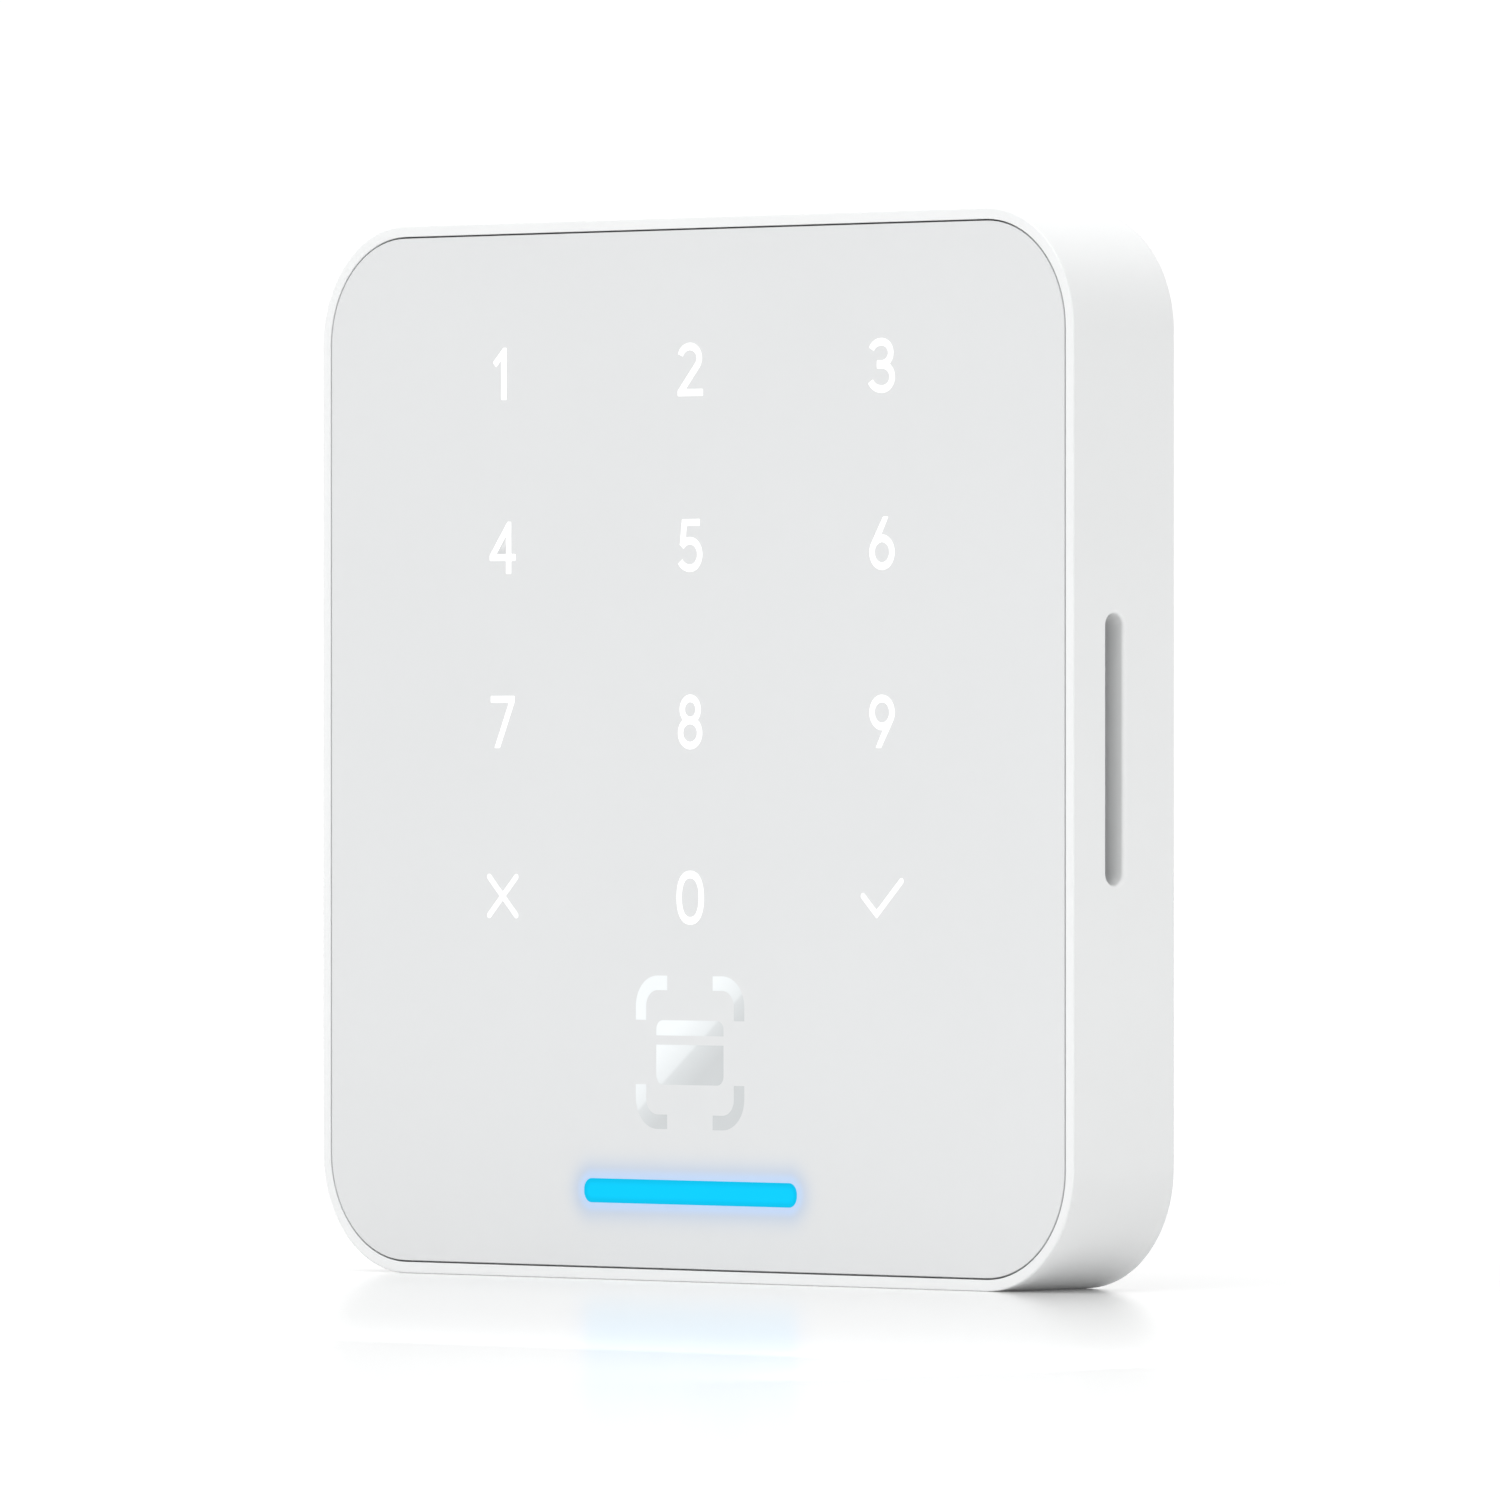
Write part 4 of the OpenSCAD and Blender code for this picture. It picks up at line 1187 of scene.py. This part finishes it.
class READER_OT_buttons(bpy.types.Operator):
    """Build the tamper plunger with its spring, and the reset button"""

    bl_idname = "reader.buttons"
    bl_label = "Plunger, spring and reset button"

    def execute(self, context):
        self.plunger()
        self.spring()
        self.button()
        return {"FINISHED"}

    def plunger(self):
        """A stem, a flange that keeps it in, and a domed tip that the wall presses."""
        x, z, width, _, front, back = in_face(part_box("tamper_plunger"))
        stem, tip, rim = 1.0 * MM, 2.5 * MM, width / 2
        flange = COVER_DEPTH - 0.65 * MM
        flange_back = flange + 0.6 * MM
        profile = [(0.8 * MM, front), (0.95 * MM, front + 0.05 * MM), (stem, front + 0.2 * MM)]
        profile += [(stem, flange), (rim - FINE, flange), (rim, flange + FINE), (rim, flange_back - FINE)]
        profile += [(rim - FINE, flange_back), (tip + SOFT, flange_back), (tip, flange_back + SOFT)]
        bm = bmesh.new()
        turned(bm, profile + domed(tip, back, 0.25 * MM, 0.4 * MM), into_face(x, z))
        nylon = moulded("plunger_acetal", (0.86, 0.86, 0.83), 0.32, spread=0.01)
        dressed(new_object("plunger", bm), nylon.material, "plunger", ["tamper_plunger"])

    def spring(self):
        """A coil with closed ends."""
        x, z, width, _, front, back = in_face(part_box("tamper_spring"))
        wire = 0.22 * MM
        coil = width / 2 - wire
        height = back - front - 2 * wire
        turns, per_turn, sides = 4, 36, 10
        closed, pitch = 0.12, 0.06
        rings = []
        for i in range(turns * per_turn + 1):
            share = i / (turns * per_turn)
            first = min(share / closed, 1.0)
            between = min(max((share - closed) / (1 - 2 * closed), 0.0), 1.0)
            last = max(share - (1 - closed), 0.0) / closed
            middle = front + wire + height * (pitch * first + (1 - 2 * pitch) * between + pitch * last)
            a = 2 * math.pi * i / per_turn
            ring = []
            for k in range(sides):
                b = 2 * math.pi * k / sides
                out = coil + wire * math.cos(b)
                depth = FRONT + middle + wire * math.sin(b)
                ring.append(Vector((x + out * math.cos(a), depth, MID_Z + z + out * math.sin(a))))
            rings.append(ring)
        bm = bmesh.new()
        skin(bm, rings)
        steel = metal("spring_wire", (0.60, 0.60, 0.61), 0.25)
        piece = new_object("spring_coil", bm)
        dressed(piece, steel.material, "reader", ["tamper_spring"])
        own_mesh(piece)

    def button(self):
        """A wide foot on the switch and a narrow domed cap."""
        x, z, width, _, front, back = in_face(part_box("reset_button"))
        foot = MAIN_BACK + 2.7 * MM
        rim, cap = width / 2, 1.7 * MM
        profile = [(rim - FINE, front), (rim, front + FINE), (rim, foot - FINE), (rim - FINE, foot)]
        bm = bmesh.new()
        turned(bm, profile + [(cap, foot)] + domed(cap, back, *HEAD_DOME), into_face(x, z))
        orange = moulded("button_orange", colours().button, 0.35, spread=0.04)
        dressed(new_object("reset_cap", bm), orange.material, "button", ["reset_button"])


class READER_OT_board_parts(bpy.types.Operator):
    """Build the parts on the main board: chips with legs, capacitors, inductor and shield"""

    bl_idname = "reader.board_parts"
    bl_label = "Board parts"

    def execute(self, context):
        black = moulded("package_black", (0.018, 0.018, 0.02), 0.4, grain=0.2 * MM, spread=0.25)
        tin = metal("package_tin", (0.70, 0.71, 0.72), 0.3)
        self.chips(black, tin)
        self.capacitors(tin)
        self.inductor()
        self.shield(tin)
        return {"FINISHED"}

    def chips(self, black, tin):
        """Each package is a bevelled body between two rows of legs."""
        bodies = bmesh.new()
        legs = bmesh.new()
        pitch, leg, inset = 0.65 * MM, 0.3 * MM, 0.45 * MM
        for part in loose_parts("board_chips"):
            x, z, width, height, front, back = in_face(part)
            block(bodies, x, z, width - 2 * inset, height - FINE, front + FINE, back, 0.08 * MM)
            count = int((height - 0.8 * MM) / pitch)
            across = width / 2 - inset / 2 - 0.05 * MM
            for i in range(count):
                up = z + (i - (count - 1) / 2) * pitch
                for side in (-1, 1):
                    block(legs, x + side * across, up, inset + FINE, leg, front, front + 0.35 * MM, 0.04 * MM)
        dressed(new_object("chip_bodies", bodies), black.material, "reader", ["board_chips"])
        dressed(new_object("chip_legs", legs), tin.material, "reader", [])

    def capacitors(self, tin):
        """Aluminium cans on a black base, with the crimp line near the base."""
        cans = bmesh.new()
        bases = bmesh.new()
        for part in loose_parts("capacitors"):
            x, z, width, _, front, back = in_face(part)
            radius = width / 2
            can = radius - 0.02 * MM
            base = front + 0.35 * MM
            block(bases, x, z, width * 0.98, width * 0.98, front, base, 0.12 * MM)
            crimp = [(radius - FINE, base), (can, base + FINE), (can, base + 0.4 * MM)]
            crimp += [(radius - 0.25 * MM, base + 0.55 * MM), (can, base + 0.7 * MM)]
            turned(cans, crimp + domed(can, back, 0.02 * MM, 0.3 * MM), into_face(x, z))
        dressed(new_object("capacitor_cans", cans), tin.material, "reader", ["capacitors"])
        black = rubber("capacitor_base", (0.02, 0.02, 0.02))
        dressed(new_object("capacitor_bases", bases), black.material, "reader", [])

    def inductor(self):
        """A ferrite block with a round wound core sunk in its face."""
        x, z, width, height, front, back = in_face(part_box("power_inductor"))
        bm = bmesh.new()
        block(bm, x, z, width, height, front, back, 0.5 * MM)
        piece = new_object("inductor_block", bm)
        ring = bmesh.new()
        swept(ring, round_plate(width * 0.4), [(0.0, back - 0.25 * MM), (0.0, back + OVER)], x, z)
        cut(piece, ring)
        core = bmesh.new()
        post(core, x, z, width * 0.26, back - 0.5 * MM, back - 0.02 * MM, FINE)
        join(piece, core)
        dressed(piece, ferrite_finish().material, "reader", ["power_inductor"])

    def shield(self, tin):
        """A pressed can with rounded edges and a field of small vent holes."""
        x, z, width, height, front, back = in_face(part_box("shield_can"))
        sheet = 0.3 * MM
        bm = bmesh.new()
        outline = rounded_plate(width / 2, height / 2, 1 * MM, 8)
        swept(bm, outline, plate_edge(front, back, 0.0, sheet), x, z)
        piece = new_object("shield_cover", bm)
        inner = bmesh.new()
        block(inner, x, z, width - 1 * MM, height - 1 * MM, front - OVER, back - sheet, 0.2 * MM)
        cut(piece, inner)
        vents = bmesh.new()
        vent = bore_edge(back - sheet, back, 0.0, 0.05 * MM)
        for row in range(-2, 3):
            for column in range(-4, 5):
                place = (x + column * 2.4 * MM, z + row * 2.8 * MM)
                swept(vents, round_plate(0.45 * MM, 16), vent, *place)
        cut(piece, vents)
        dressed(piece, tin.material, "reader", ["shield_can"])


class READER_OT_inner_finishes(bpy.types.Operator):
    """Put a finish on each part that keeps its exact solid"""

    bl_idname = "reader.inner_finishes"
    bl_label = "Inner parts"

    def execute(self, context):
        choices = {
            rubber("tape_foam", (0.03, 0.03, 0.03)): ["panel_adhesive"],
            rubber("seal_silicone", (0.12, 0.12, 0.125), 0.4 * MM): ["cover_seal", "terminal_seal"],
            rubber("gasket_foam", (0.02, 0.02, 0.02), 0.3 * MM): ["speaker_gasket"],
            moulded("black_moulded", (0.02, 0.02, 0.022), 0.45, spread=0.2): [
                "board_connector", "speaker", "tamper_switch", "reset_switch",
            ],
            moulded("nylon_natural", (0.80, 0.79, 0.73), 0.4): ["board_spacers"],
            moulded("diffuser_white", (0.90, 0.90, 0.89), 0.6): ["light_box"],
            metal("insert_brass", (0.78, 0.58, 0.28), 0.3): ["threaded_insert"],
            metal("contact_gold", (0.90, 0.68, 0.30), 0.25): ["speaker_contacts"],
            metal("track_copper", (0.80, 0.42, 0.22), 0.35): ["antenna_coil"],
            board_finish(): ["key_board", "main_board"],
            ferrite_finish(): ["ferrite_sheet"],
            led_finish(): ["key_leds", "status_leds"],
            film_finish(): ["touch_film"],
            weave_finish(): ["acoustic_mesh"],
            label_finish(): ["data_label"],
        }
        for finish, nodes in choices.items():
            for node in nodes:
                give(node, finish)
        return {"FINISHED"}


class READER_PT_panel(bpy.types.Panel):
    """Lists the steps that build the reader"""

    bl_idname = "READER_PT_panel"
    bl_label = "Keypad Card Reader"
    bl_space_type = "VIEW_3D"
    bl_region_type = "UI"
    bl_category = "Reader"

    def draw(self, context):
        for operator in OPERATORS:
            self.layout.operator(operator.bl_idname)
        scene = context.scene
        for group in (scene.reader_sizes, scene.reader_colours, scene.reader_studio):
            box = self.layout.box()
            for name in group.bl_rna.properties.keys():
                if name not in {"rna_type", "name"}:
                    box.prop(group, name)


GROUPS = (ReaderSizes, ReaderColours, ReaderStudio)
OPERATORS = (
    READER_OT_stage,
    READER_OT_housing,
    READER_OT_panel,
    READER_OT_rear_cover,
    READER_OT_wall_plate,
    READER_OT_screws,
    READER_OT_terminals,
    READER_OT_buttons,
    READER_OT_board_parts,
    READER_OT_inner_finishes,
)


def register():
    for item in (*GROUPS, *OPERATORS, READER_PT_panel):
        bpy.utils.register_class(item)
    bpy.types.Scene.reader_sizes = PointerProperty(type=ReaderSizes)
    bpy.types.Scene.reader_colours = PointerProperty(type=ReaderColours)
    bpy.types.Scene.reader_studio = PointerProperty(type=ReaderStudio)


def unregister():
    del bpy.types.Scene.reader_studio
    del bpy.types.Scene.reader_colours
    del bpy.types.Scene.reader_sizes
    for item in reversed((*GROUPS, *OPERATORS, READER_PT_panel)):
        bpy.utils.unregister_class(item)


def main():
    register()
    for operator in OPERATORS:
        group, name = operator.bl_idname.split(".")
        getattr(getattr(bpy.ops, group), name)()


if __name__ == "__main__":
    main()
